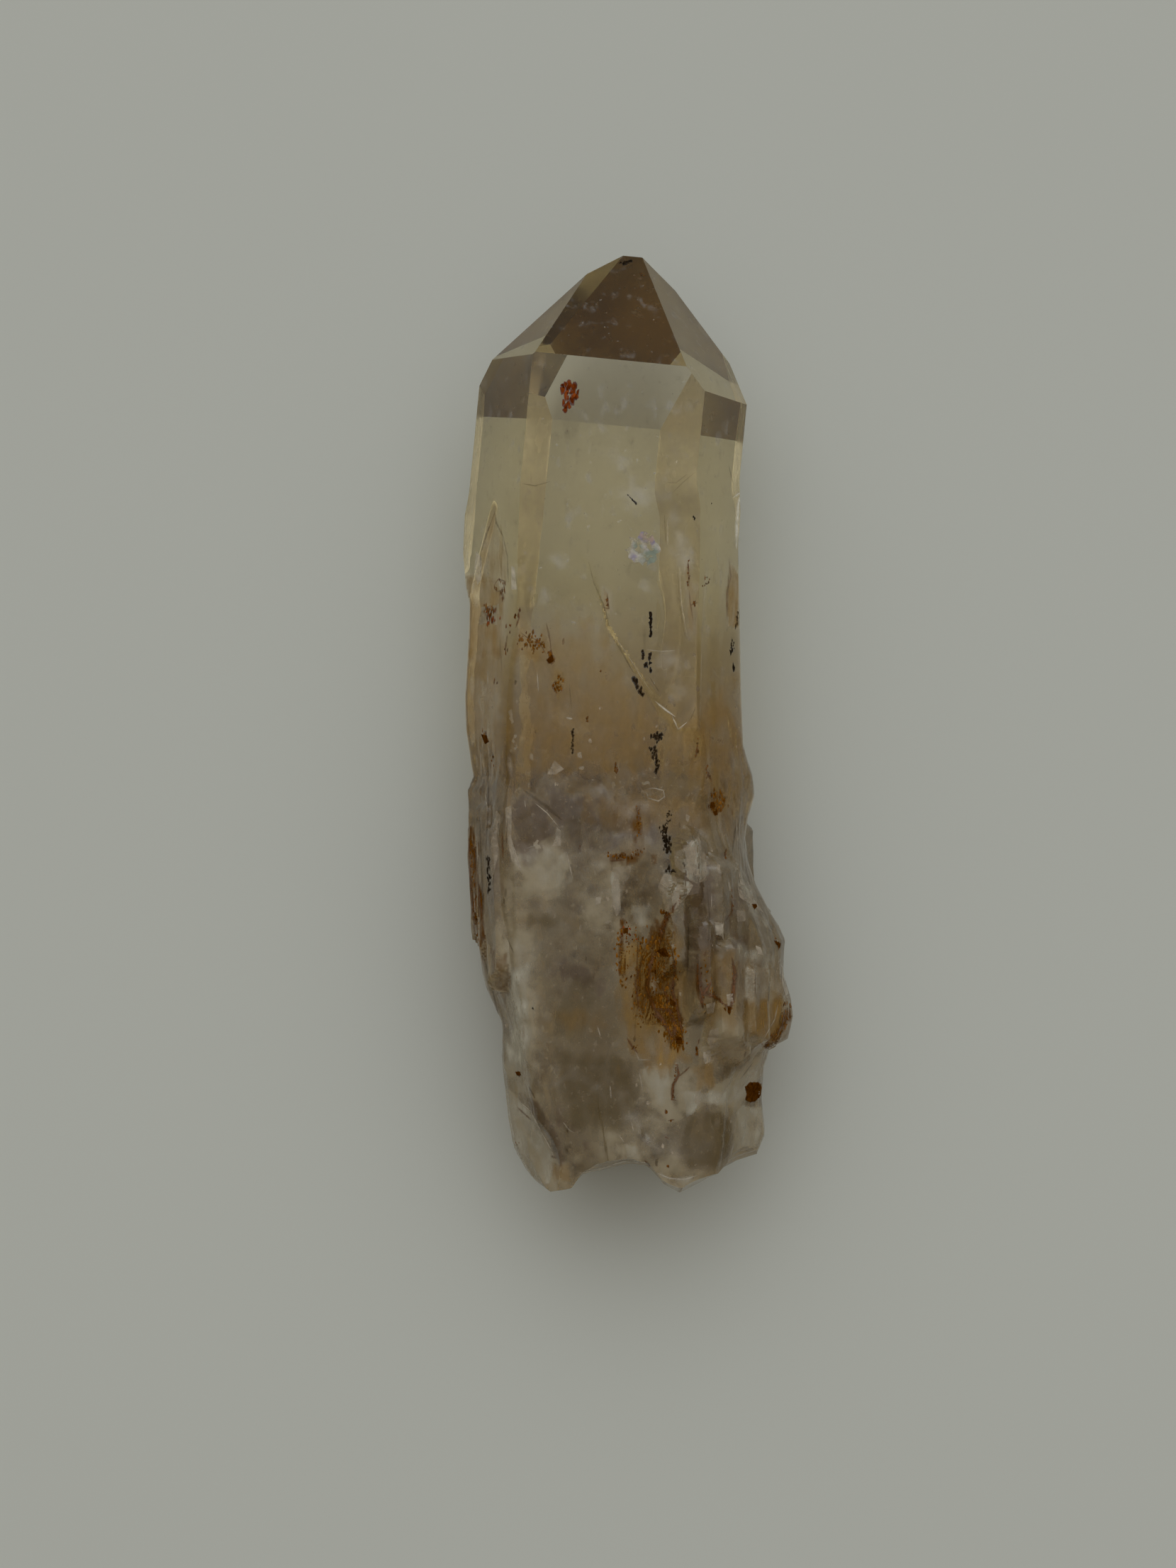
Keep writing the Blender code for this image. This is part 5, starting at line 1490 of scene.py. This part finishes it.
def cloud_veils():
    """Curved veils scattered through the root, more of them where it is milky and fewer where it is smoky."""
    rng = random.Random(21)
    places = []
    for _ in range(VEIL_COUNT):
        y = rng.uniform(VEILS_ABOVE_Y, VEILS_BELOW_Y)
        point, normal = skin_from_core(y, rng.uniform(-math.pi, math.pi))
        depth = VEIL_DEPTHS[0] + (VEIL_DEPTHS[1] - VEIL_DEPTHS[0]) * rng.random() ** SHALLOW_POWER
        places.append((normal, point - normal * depth))
    seen = seen_from_above(np.array([centre for _, centre in places]))
    wanted = PLAIN_CLOUDS + MILKY_CLOUDS * soft_marks(seen, MILKY) - SMOKY_CLOUDS * soft_marks(seen, SMOKY)
    bm = bmesh.new()
    bm.verts.layers.float.new("cover")
    for (normal, centre), chance in zip(places, wanted):
        fade = ramp_down(centre.y, *FEWER_VEILS_Y)
        facing = tilted(normal, VEIL_TILT, rng)
        radius = rng.uniform(*VEIL_RADII)
        outer = ragged_ring(centre, facing, radius, rng.uniform(*VEIL_STRETCHES), VEIL_SIDES, rng)
        bulge = facing * VEIL_BULGE * radius * rng.uniform(-1, 1)
        rings = []
        for share in VEIL_RINGS:
            rings.append([centre + (p - centre) * share + bulge * (1 - share) for p in outer])
        buried = all(inside(p, VEIL_MARGIN) for ring in rings for p in ring)
        if rng.random() < chance * fade and buried:
            add_film(bm, centre + bulge, rings, VEIL_COVERS)
    for face in bm.faces:
        face.smooth = True
    return bm


veils = film_object("cloud_veils", cloud_veils(), film(
    "milky veil of tiny bubbles", PALE_QUARTZ, grain_mm=1.1, least=0.1, most=1.0))
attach(veils, "root")

# Iron and manganese oxide: rust and black ore that settled in hollows and along cracks, as thin crusts and
# scales. A trail is its number of scales, their size, how far they scatter, and the points it runs through.
RUST_TRAILS = [
    (9, 0.22, 0.1, (-12.6, 13.1), (-11.8, 13.3), (-11.6, 12.5), (-12.2, 12.2), (-12.6, 12.9)),
    (5, 0.2, 0.1, (-12, 12.2), (-11.9, 11.4)), (9, 0.28, 0.22, (-13.5, 10.6), (-12.9, 10.4), (-13.2, 9.8)),
    (4, 0.2, 0.15, (-10.5, 10.2), (-10.5, 9.6)), (4, 0.2, 0.15, (-11.4, 9.1), (-11.2, 8.6)),
    (3, 0.15, 0.15, (-11.6, 6.9), (-11.5, 6.4)), (8, 0.16, 0.4, (-9.9, 8), (-9, 7.4), (-8.2, 6.9)),
    (6, 0.3, 0.12, (-7.5, 6.3), (-7.2, 5.7)), (13, 0.22, 0.14, (-6.6, 4.3), (-6.8, 3.4), (-6.8, 2.7)),
    (3, 0.2, 0.1, (-12.5, 3.9), (-12.4, 3.6)), (2, 0.16, 0.05, (-2.7, 4.9), (-2.7, 4.7)),
    (4, 0.18, 0.1, (-2, 11.3), (-2, 10.8)),
    (9, 0.15, 0.08, (6.8, 13.5), (7.4, 13.4), (7.3, 12.9), (6.9, 12.8)),
    (4, 0.15, 0.1, (6.1, 11.3), (6, 10.8)), (8, 0.12, 0.06, (5.5, 15.3), (5.6, 14), (5.5, 12.6)),
    (3, 0.16, 0.05, (-3.9, 0.5), (-3.9, 0.1)), (3, 0.2, 0.1, (-1.2, -4.1), (-1.2, -4.4)),
    (7, 0.28, 0.15, (-13.6, -1), (-13.4, -1.7)), (4, 0.18, 0.12, (-12.9, -3.4), (-12.7, -4)),
    (6, 0.15, 0.12, (6.4, -1.6), (6.3, -3.2)), (6, 0.15, 0.12, (7.3, -4), (7.5, -5.5)),
    (18, 0.2, 0.1, (7.6, -7), (8.4, -6.5), (8.9, -7.4), (8.6, -8.3), (7.9, -8.4), (7.5, -7.6)),
    (9, 0.16, 0.1, (0.8, -7.8), (0.9, -10.6)), (14, 0.18, 0.14, (-2.2, -12.4), (-0.8, -12.7), (0.4, -12.3)),
    (4, 0.2, 0.1, (-0.4, -19.3), (-0.4, -19.7)), (5, 0.25, 0.12, (11.5, -17.1), (11.9, -17.4)),
    (9, 0.25, 0.12, (13.5, -20.3), (14.1, -20.8), (13.9, -21.2)), (4, 0.15, 0.1, (9, -12.5), (9, -12.8)),
    (8, 0.14, 0.06, (9.6, -15.6), (9.7, -17.6)), (7, 0.16, 0.12, (4.8, -15.9), (4.7, -17)),
    (16, 0.26, 0.18, (3.1, -17.8), (3.6, -18), (3.2, -19.4)),
    (18, 0.3, 0.3, (2.6, -21.2), (3.6, -21.6), (3.9, -22.2)), (16, 0.28, 0.25, (2, -23.2), (3.4, -23.6)),
    (24, 0.26, 0.35, (3.6, -25.8), (4, -27), (4.6, -28.2)), (22, 0.22, 0.4, (2.2, -21.4), (2.6, -24.2)),
    (18, 0.22, 0.35, (2.2, -25.6), (3.4, -27)), (10, 0.2, 0.1, (2.1, -27.2), (3, -28), (3.6, -28.6)),
    (24, 0.26, 0.25, (4.2, -29), (4.6, -29.8), (5, -30.3)),
    (12, 0.16, 0.1, (0.9, -21), (0.8, -23), (1, -25)), (12, 0.16, 0.1, (2.9, -19.6), (2.4, -22)),
    (12, 0.14, 0.1, (-0.6, -19.8), (-0.8, -22.4), (-0.5, -24.4)),
    (8, 0.16, 0.12, (7.6, -8), (8, -8.6), (8.4, -8.2)),
    (26, 0.18, 0.35, (0.2, -19), (-0.1, -22), (0.4, -25.4)), (8, 0.16, 0.15, (-0.3, -19), (-0.2, -21)),
    (20, 0.15, 0.1, (6.6, -22.5), (6.5, -24.5), (7.1, -26.7)), (12, 0.14, 0.08, (7.7, -25.2), (8.7, -26.3)),
    (9, 0.14, 0.1, (9.8, -23.6), (9.7, -25.4)), (6, 0.2, 0.1, (9.1, -26.8), (9.3, -27.2)),
    (22, 0.22, 0.22, (14.7, -26.4), (14.4, -28.8), (12.6, -30.5)),
    (3, 0.34, 0.04, (-10.4, -32.9), (-10.3, -32.9)), (5, 0.2, 0.12, (6.2, -30.8), (6.4, -31)),
    (18, 0.12, 0.05, (4.4, -32), (4.2, -33.8), (4, -35.4)), (6, 0.14, 0.05, (0.2, -30.6), (0.8, -30.3)),
    (3, 0.18, 0.05, (3.5, -36.4), (3.5, -36.6)), (3, 0.15, 0.05, (3.9, -37.2), (3.9, -37.4)),
    (3, 0.15, 0.1, (3.7, -41.4), (3.7, -41.6)), (3, 0.2, 0.1, (-10.5, -39.3), (-10.5, -39.5)),
    (24, 0.2, 0.18, (-14.7, -11.5), (-14.7, -14.5), (-14.4, -20)), (4, 0.1, 0.05, (1.1, 42), (1.3, 41.7)),
]
GOLDEN_TRAILS = [
    (90, 0.26, 0.45, (2.8, -19.6), (2.6, -22), (3, -24.8)),
    (80, 0.22, 0.35, (1, -20), (1.2, -23), (1.2, -28)),
    (120, 0.26, 0.5, (2.8, -25.6), (3.8, -27.8), (4.4, -30)), (30, 0.2, 0.2, (4.2, -21), (4.4, -24)),
    (30, 0.2, 0.2, (-0.8, -19.4), (-1, -22), (-0.6, -25)), (14, 0.2, 0.2, (0.6, -26), (1.2, -28.6)),
    (26, 0.22, 0.28, (7.9, -6.6), (8.8, -7.2), (8.3, -7.9)),
    (60, 0.17, 0.42, (-10, 7.6), (-9, 7.4), (-8.2, 7)), (10, 0.2, 0.14, (-6.6, 4.2), (-6.7, 2.8)),
    (12, 0.22, 0.25, (-13.4, 10.4), (-12.6, 10.4)), (12, 0.18, 0.1, (0.7, -7.9), (0.9, -10.8)),
    (16, 0.2, 0.15, (-2, -12.6), (0.2, -12.3), (1.4, -12)),
    (16, 0.18, 0.18, (7, -22.4), (7.4, -24.8), (8.3, -26.2)), (10, 0.16, 0.12, (9.8, -23.4), (9.5, -27)),
    (24, 0.2, 0.2, (14.8, -26), (14.4, -28.6), (12.8, -30.4)),
    (24, 0.2, 0.14, (-14.8, -11), (-14.6, -15), (-14.2, -21)), (6, 0.16, 0.1, (12.2, -33.7), (12.5, -34.4)),
    (6, 0.16, 0.1, (-1.3, -4.2), (-1.1, -4.4)), (5, 0.14, 0.08, (6.4, -2.2), (6.2, -3.4)),
    (5, 0.14, 0.08, (7.2, -4.2), (7.6, -5.4)),
]
RED_TRAILS = [
    (12, 0.32, 0.24, (-6, 31.6), (-5.3, 31.5)), (16, 0.32, 0.28, (-6.3, 30.8), (-5.2, 30.5), (-5.1, 31.2)),
    (8, 0.26, 0.18, (-6.1, 29.9), (-5.7, 29.5)), (10, 0.3, 0.35, (-13.5, 10.4), (-12.6, 9.9)),
    (8, 0.2, 0.35, (-0.2, -19), (0, -20.5)),
]
BLACK_TRAILS = [
    (28, 0.17, 0.05, (2, 10.3), (2, 8)), (12, 0.16, 0.09, (1.9, 6.5), (1.9, 4.7)),
    (11, 0.16, 0.05, (1.3, 6.7), (1.3, 5.9)), (4, 0.19, 0.03, (1.5, 5.4), (1.5, 5.2)),
    (19, 0.25, 0.1, (0.5, 4.1), (1.3, 2.4)), (16, 0.18, 0.05, (-5.3, -0.6), (-5.3, -2.9)),
    (26, 0.2, 0.22, (2.3, -1.2), (2.9, -1.5)), (30, 0.2, 0.14, (2.3, -2.4), (2.6, -4.5)),
    (14, 0.16, 0.12, (3.8, -8.4), (3.6, -9.6)), (56, 0.22, 0.2, (3.3, -9.6), (3.4, -10.8), (3.7, -12.2)),
    (10, 0.2, 0.12, (3.6, -13.8), (4.4, -14.1)), (6, 0.16, 0.12, (5, -13.3), (5.3, -13.3)),
    (14, 0.2, 0.07, (10.1, 10.3), (10, 8.9)), (16, 0.21, 0.1, (9.7, 7.6), (9.5, 6.3)),
    (7, 0.24, 0.06, (9.7, 5.3), (9.8, 4.9)), (34, 0.3, 0.08, (-13.2, -12.6), (-13.1, -15.9)),
    (5, 0.15, 0.08, (4.1, -24.6), (4.1, -25)), (2, 0.15, 0.03, (-9, -26.8), (-9, -26.9)),
    (16, 0.09, 0.01, (-0.2, 21.3), (0.7, 20.4)), (19, 0.2, 0.08, (-0.8, 43), (0.2, 43.1)),
    (2, 0.1, 0.02, (7.7, 20.5), (7.7, 20.4)), (4, 0.1, 0.02, (6, 19.2), (6.2, 19)),
]
DARK_CRUSTS = [
    ((10.7, -34.1), (11.2, -33.6), (12.1, -33.6), (12.4, -33.9), (12.4, -35), (11.8, -35.6),
     (11.2, -35.7), (10.8, -35.4), (10.9, -34.8)),
    ((7.6, -7.5), (7.9, -7.4), (8.1, -7.9), (7.9, -8.2), (7.5, -8)),
    ((7.8, -8.4), (8.2, -8.2), (8.3, -8.7), (8, -8.8)),
    ((11.4, -17), (11.9, -17), (12, -17.3), (11.7, -17.6)),
    ((13.5, -20.4), (14.2, -20.7), (14.1, -21.2), (13.8, -20.9)),
    ((-0.6, -19.3), (-0.1, -19.2), (-0.1, -19.8), (-0.5, -19.8)),
    ((-10.7, -32.7), (-10.2, -32.7), (-10.1, -33.1), (-10.5, -33.1)),
    ((-13.9, -1.1), (-13.3, -1.2), (-13.1, -1.9), (-13.5, -2.1)),
    ((-7.8, 5.8), (-7.2, 6.4), (-7, 5.7), (-7.5, 5.4)),
    ((9.2, -26.6), (9.6, -26.6), (9.4, -27.5), (9.2, -27.2)),
    ((3.8, -25.8), (4.4, -26.2), (4.3, -26.8), (3.8, -26.4)),
    ((2.4, -21.4), (3.4, -21), (3.9, -22), (3.2, -22)),
    ((4.2, -29.3), (4.9, -29.4), (5.1, -30.2), (4.5, -30.2)),
]
DULL_RUST = ("381a00", "7c4c14")
THIN_RUST = ("543206", "925f1e")
RED_OXIDE = ("4a1600", "9c4c1c")
BLACK_OXIDE = ("100b04", "33271a")
RUST_ROUGHNESS, ORE_ROUGHNESS = 0.7, 0.5
OXIDE_GRAIN_MM = 0.3
OXIDE_DETAIL = 3.0
OXIDE_SHADES = (0.4, 1.5)
SCALE_THICKNESS = 0.06
SCALE_SINK = 0.03
SCALE_BOTTOM = SCALE_SINK + 2 * SCALE_THICKNESS
SCALE_SIDES = (5, 6, 7)
SCALE_STRETCHES = (0.9, 2.2)
SCALE_SIZES = (0.5, 1.1)
CRUST_RINGS = ((0.4, SCALE_THICKNESS), (0.85, 0.8 * SCALE_THICKNESS), (1, -SCALE_SINK))
CRUST_RIM = (0.92, 1)
CRUST_SHADES = (0.0, 0.25)
HIDDEN_RUST = 60
HIDDEN_Y = (-42, -4, -22)
HIDDEN_TURNS = (0.6 * math.pi, 1.4 * math.pi)
HIDDEN_RADII = (0.1, 0.28)
LOWEST_SCALE_Z = 0.3


def along_trail(points, share):
    """The place at this share of the way along a line of points."""
    steps = share * (len(points) - 1)
    k = min(int(steps), len(points) - 2)
    return Vector(points[k]).lerp(Vector(points[k + 1]), steps - k)


def add_scale(bm, point, normal, radius, rng, shade):
    """A thin ragged scale whose rim is sunk into the surface, as a closed lens."""
    sides = rng.choice(SCALE_SIDES)
    ring = ragged_ring(point, normal, radius, rng.uniform(*SCALE_STRETCHES), sides, rng)
    rim = []
    for corner in ring:
        on_skin, skin_normal, _, _ = citrine_skin.find_nearest(corner * MM)
        rim.append(bm.verts.new(on_skin - skin_normal * SCALE_SINK * MM))
    top = bm.verts.new(kept_in(point + normal * SCALE_THICKNESS, solid_box_mm) * MM)
    bottom = bm.verts.new((point - normal * SCALE_BOTTOM) * MM)
    for here, there in zip(rim, rim[1:] + rim[:1]):
        bm.faces.new((top, here, there))
        bm.faces.new((bottom, there, here))
    for vert in [*rim, top, bottom]:
        vert[bm.verts.layers.float["shade"]] = shade


def add_crust(bm, outline, rng):
    """A crust with a clear outline, standing a little above the surface inside its sunken rim."""
    outer = finely(outline, True)
    centre = middle_of(outer)
    rings = []
    for share, lift in CRUST_RINGS:
        rings.append([])
        for corner in outer:
            point, normal = skin_from_above(*centre.lerp(corner, share * rng.uniform(*CRUST_RIM)))
            rings[-1].append(bm.verts.new(kept_in(point + normal * lift, solid_box_mm) * MM))
    point, normal = skin_from_above(*centre)
    top = bm.verts.new(kept_in(point + normal * SCALE_THICKNESS, solid_box_mm) * MM)
    bottom = bm.verts.new((point - normal * SCALE_BOTTOM) * MM)
    for k in range(len(outer)):
        after = (k + 1) % len(outer)
        bm.faces.new((top, rings[0][k], rings[0][after]))
        bm.faces.new((bottom, rings[2][after], rings[2][k]))
        for inner, ring in zip(rings, rings[1:]):
            bm.faces.new((inner[k], ring[k], ring[after], inner[after]))
    for vert in [*(v for ring in rings for v in ring), top, bottom]:
        vert[bm.verts.layers.float["shade"]] = rng.uniform(*CRUST_SHADES)


def oxide_scales(trails, crusts, hidden, seed):
    """The crusts, the scales of every trail, and some more round the rest of the root."""
    rng = random.Random(seed)
    bm = bmesh.new()
    bm.verts.layers.float.new("shade")
    for outline in crusts:
        add_crust(bm, outline, rng)
    for count, size, scatter, *points in trails:
        for k in range(count):
            middle = along_trail(points, (k + rng.random()) / count)
            x = middle.x + rng.gauss(0, scatter)
            y = middle.y + rng.gauss(0, scatter)
            point, normal = skin_from_above(x, y)
            if point is not None:
                add_scale(bm, point, normal, size * rng.uniform(*SCALE_SIZES), rng, rng.random())
    for _ in range(hidden):
        y = rng.triangular(*HIDDEN_Y)
        point, normal = skin_from_core(y, rng.uniform(*HIDDEN_TURNS))
        if point.z > LOWEST_SCALE_Z:
            add_scale(bm, point, normal, rng.uniform(*HIDDEN_RADII), rng, rng.random())
    bmesh.ops.recalc_face_normals(bm, faces=bm.faces)
    return bm


def oxide(name, colours, roughness):
    """Dull oxide grains between two colours, each scale a shade of its own."""
    material, tree, output = empty_material(name)
    shade = add_node(tree, "ShaderNodeAttribute", attribute_name="shade").outputs["Fac"]
    where = add_node(tree, "ShaderNodeTexCoord").outputs["Object"]
    grain = add_node(tree, "ShaderNodeTexNoise", {
        "Vector": where, "Scale": 1 / (OXIDE_GRAIN_MM * MM), "Detail": OXIDE_DETAIL})
    mixed = add_node(tree, "ShaderNodeMath", {0: shade, 1: grain.outputs["Fac"]}, operation="ADD")
    mixed = add_node(tree, "ShaderNodeMapRange", {
        "Value": mixed.outputs[0], "From Min": OXIDE_SHADES[0], "From Max": OXIDE_SHADES[1]})
    tint = add_node(tree, "ShaderNodeMix", {
        "Factor": mixed.outputs["Result"], "A": linear(colours[0]), "B": linear(colours[1])},
        data_type="RGBA")
    surface = add_node(tree, "ShaderNodeBsdfPrincipled", {
        "Base Color": tint.outputs["Result"], "Roughness": roughness, "Specular IOR Level": 0.0})
    tree.links.new(surface.outputs["BSDF"], output.inputs["Surface"])
    return material


for name, trails, crusts, hidden, seed, finish in (
    ("rust_scales", RUST_TRAILS, DARK_CRUSTS, HIDDEN_RUST, 11,
     oxide("goethite rust, dull", DULL_RUST, RUST_ROUGHNESS)),
    ("golden_rust_scales", GOLDEN_TRAILS, [], 0, 14,
     oxide("goethite rust, thin", THIN_RUST, RUST_ROUGHNESS)),
    ("red_oxide_scales", RED_TRAILS, [], 0, 12,
     oxide("haematite, red-orange scales", RED_OXIDE, ORE_ROUGHNESS)),
    ("black_oxide_scales", BLACK_TRAILS, [], 0, 13,
     oxide("manganese oxide, black", BLACK_OXIDE, ORE_ROUGHNESS)),
):
    scales = scene_object(name, oxide_scales(trails, crusts, hidden, seed))
    scales.data.materials.append(finish)
    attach(scales, "root")

# The rainbow crack: a small crack inside the clear part holds a film of air so thin that it shows white,
# violet and green patches. It lies nearly level, a few millimetres under the front face.
RAINBOW_MIDDLE = (1.4, 16.4, 18.2)
RAINBOW_RADIUS = 1.75
RAINBOW_TILT = Vector((0.12, -0.08, 1))
RAINBOW_SIDES = 26
RAINBOW_RINGS = 5
RAINBOW_RIM = (0.7, 1.05)
RAINBOW_WAVE, RAINBOW_WAVES_PER_MM = 0.12, 1.1
RAINBOW_COLOURS = ((0.34, "a3b8b0"), (0.42, "d3d8da"), (0.5, "f6f2f2"), (0.58, "b2a6d8"), (0.66, "e0c4c4"))
BAND_MM, BAND_DETAIL = 1.9, 1.0
SPOT_MM, SPOT_DETAIL = 0.7, 4.0
SPOT_RANGE = (0.38, 0.58)
AIR_COVER = 0.95
AIR_ROUGHNESS = 0.2


def rainbow_crack():
    """A slightly wavy disc with a ragged rim."""
    rng = random.Random(3)
    bm = bmesh.new()
    normal = RAINBOW_TILT.normalized()
    across = normal.orthogonal().normalized()
    along = normal.cross(across)
    reach = [RAINBOW_RADIUS * rng.uniform(*RAINBOW_RIM) for _ in range(RAINBOW_SIDES)]
    middle = bm.verts.new(Vector(RAINBOW_MIDDLE) * MM)
    rings = []
    for ring in range(1, RAINBOW_RINGS + 1):
        verts = []
        for k in range(RAINBOW_SIDES):
            turn = k * 2 * math.pi / RAINBOW_SIDES
            out = (across * math.cos(turn) + along * math.sin(turn)) * reach[k] * ring / RAINBOW_RINGS
            lift = normal * RAINBOW_WAVE * noise.noise(out * RAINBOW_WAVES_PER_MM)
            verts.append(bm.verts.new((Vector(RAINBOW_MIDDLE) + out + lift) * MM))
        rings.append(verts)
    for k in range(RAINBOW_SIDES):
        after = (k + 1) % RAINBOW_SIDES
        bm.faces.new((middle, rings[0][k], rings[0][after]))
        for inner, outer in zip(rings, rings[1:]):
            bm.faces.new((inner[k], outer[k], outer[after], inner[after]))
    for face in bm.faces:
        face.smooth = True
    return bm


def air_film():
    """Air thin enough to show interference colours in soft bands, missing in spots where the crack closed."""
    material, tree, output = empty_material("air film in a crack, rainbow coloured")
    where = add_node(tree, "ShaderNodeTexCoord").outputs["Object"]
    bands = add_node(tree, "ShaderNodeTexNoise", {
        "Vector": where, "Scale": 1 / (BAND_MM * MM), "Detail": BAND_DETAIL})
    spots = add_node(tree, "ShaderNodeTexNoise", {
        "Vector": where, "Scale": 1 / (SPOT_MM * MM), "Detail": SPOT_DETAIL})
    colours = add_node(tree, "ShaderNodeValToRGB", {"Fac": bands.outputs["Fac"]})
    stops = colours.color_ramp.elements
    for stop, (position, tint) in zip(stops, (RAINBOW_COLOURS[0], RAINBOW_COLOURS[-1])):
        stop.position = position
        stop.color = linear(tint)
    for position, tint in RAINBOW_COLOURS[1:-1]:
        stops.new(position).color = linear(tint)
    cover = add_node(tree, "ShaderNodeMapRange", {
        "Value": spots.outputs["Fac"], "From Min": SPOT_RANGE[0], "From Max": SPOT_RANGE[1],
        "To Max": AIR_COVER})
    surface = add_node(tree, "ShaderNodeBsdfPrincipled", {
        "Base Color": colours.outputs["Color"], "Roughness": AIR_ROUGHNESS, "Alpha": cover.outputs["Result"]})
    tree.links.new(surface.outputs["BSDF"], output.inputs["Surface"])
    return material


crack = scene_object("rainbow_crack", rainbow_crack())
crack.data.materials.append(air_film())
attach(crack, "root")

# The floor, the light and the camera: a plain pale table under soft light from all round, stronger from above
# and beyond the tip. The camera looks straight down, from a little left of the middle and nearer the root.
FLOOR_HALF_WIDTH = 2.0
FLOOR_BELOW = 0.02
FLOOR_PAINT = "c3c4bd"
FLOOR_ROUGHNESS = 0.6
BACKDROP = "a3a49e"
LIGHT_FROM = (0.0, 0.5, 0.85)
LIGHT_FOCUS = 4.5
LIGHT_COLOUR = (1.72, 1.83, 1.91)
LIGHT_STRENGTH = 1.0
ROOM_Z = (-0.05, 0.6)
ROOM_LOW = (0.155, 0.118, 0.058, 1)
ROOM_HIGH = (0.255, 0.235, 0.195, 1)
SHADE_Z = (0.84, 0.99)
SHADE_LEFT = 0.5
CAMERA_PIXELS = 4500.0
PHOTO_LONG_SIDE = 2212.0
SENSOR_MM = 36.0
NEAREST_SEEN_M = 0.01


def floor_paint():
    """Plain matt paint."""
    material, tree, output = empty_material("matt pale paint")
    surface = add_node(tree, "ShaderNodeBsdfPrincipled", {
        "Base Color": linear(FLOOR_PAINT), "Roughness": FLOOR_ROUGHNESS})
    tree.links.new(surface.outputs["BSDF"], output.inputs["Surface"])
    return material


def floor_object():
    """A flat floor a hair below what the crystal lies on."""
    bm = bmesh.new()
    bmesh.ops.create_grid(bm, x_segments=1, y_segments=1, size=FLOOR_HALF_WIDTH)
    bmesh.ops.translate(bm, verts=bm.verts, vec=(0, 0, -FLOOR_BELOW * MM))
    floor = scene_object("floor", bm)
    floor.data.materials.append(floor_paint())
    return floor


def soft_light():
    """Light from all round: dim and warm near the floor, brighter above, brightest beyond the tip. The camera
    stands in the light that would come from straight above."""
    world = bpy.data.worlds.new("soft light")
    world.use_nodes = True
    tree = world.node_tree
    tree.nodes.clear()
    facing = add_node(tree, "ShaderNodeTexCoord").outputs["Generated"]
    up = add_node(tree, "ShaderNodeSeparateXYZ", {"Vector": facing}).outputs["Z"]
    higher = add_node(tree, "ShaderNodeMapRange", {"Value": up, "From Min": ROOM_Z[0], "From Max": ROOM_Z[1]})
    room = add_node(tree, "ShaderNodeMix", {
        "Factor": higher.outputs["Result"], "A": ROOM_LOW, "B": ROOM_HIGH}, data_type="RGBA")
    light = Vector(LIGHT_FROM).normalized()
    towards = add_node(tree, "ShaderNodeVectorMath", {0: facing, 1: light}, operation="DOT_PRODUCT")
    positive = add_node(tree, "ShaderNodeMath", {0: towards.outputs["Value"], 1: 0.0}, operation="MAXIMUM")
    narrow = add_node(tree, "ShaderNodeMath", {0: positive.outputs[0], 1: LIGHT_FOCUS}, operation="POWER")
    window = add_node(tree, "ShaderNodeVectorMath", {0: LIGHT_COLOUR, "Scale": narrow.outputs[0]},
                      operation="SCALE")
    both = add_node(tree, "ShaderNodeVectorMath", {0: room.outputs["Result"], 1: window.outputs[0]},
                    operation="ADD")
    shade = add_node(tree, "ShaderNodeMapRange", {
        "Value": up, "From Min": SHADE_Z[0], "From Max": SHADE_Z[1], "To Min": 1.0, "To Max": SHADE_LEFT},
        interpolation_type="SMOOTHSTEP")
    kept = add_node(tree, "ShaderNodeVectorMath", {0: both.outputs[0], "Scale": shade.outputs["Result"]},
                    operation="SCALE")
    lit = add_node(tree, "ShaderNodeBackground", {"Color": kept.outputs[0], "Strength": LIGHT_STRENGTH})
    behind = add_node(tree, "ShaderNodeBackground", {"Color": linear(BACKDROP), "Strength": 1.0})
    seen = add_node(tree, "ShaderNodeLightPath").outputs["Is Camera Ray"]
    mixed = add_node(tree, "ShaderNodeMixShader", {0: seen, 1: lit.outputs[0], 2: behind.outputs[0]})
    add_node(tree, "ShaderNodeOutputWorld", {"Surface": mixed.outputs[0]})
    bpy.context.scene.world = world


def camera_above():
    """A camera that looks straight down, at the height and with the view that the photograph has."""
    data = bpy.data.cameras.new("camera")
    data.sensor_width = SENSOR_MM
    data.lens = CAMERA_PIXELS / PHOTO_LONG_SIDE * SENSOR_MM
    data.clip_start = NEAREST_SEEN_M
    camera = bpy.data.objects.new("camera", data)
    camera.location = Vector((*CAMERA_XY, CAMERA_Z)) * MM
    bpy.context.scene.collection.objects.link(camera)
    bpy.context.scene.camera = camera


floor_object()
soft_light()
camera_above()
bpy.context.scene.view_settings.view_transform = "Standard"
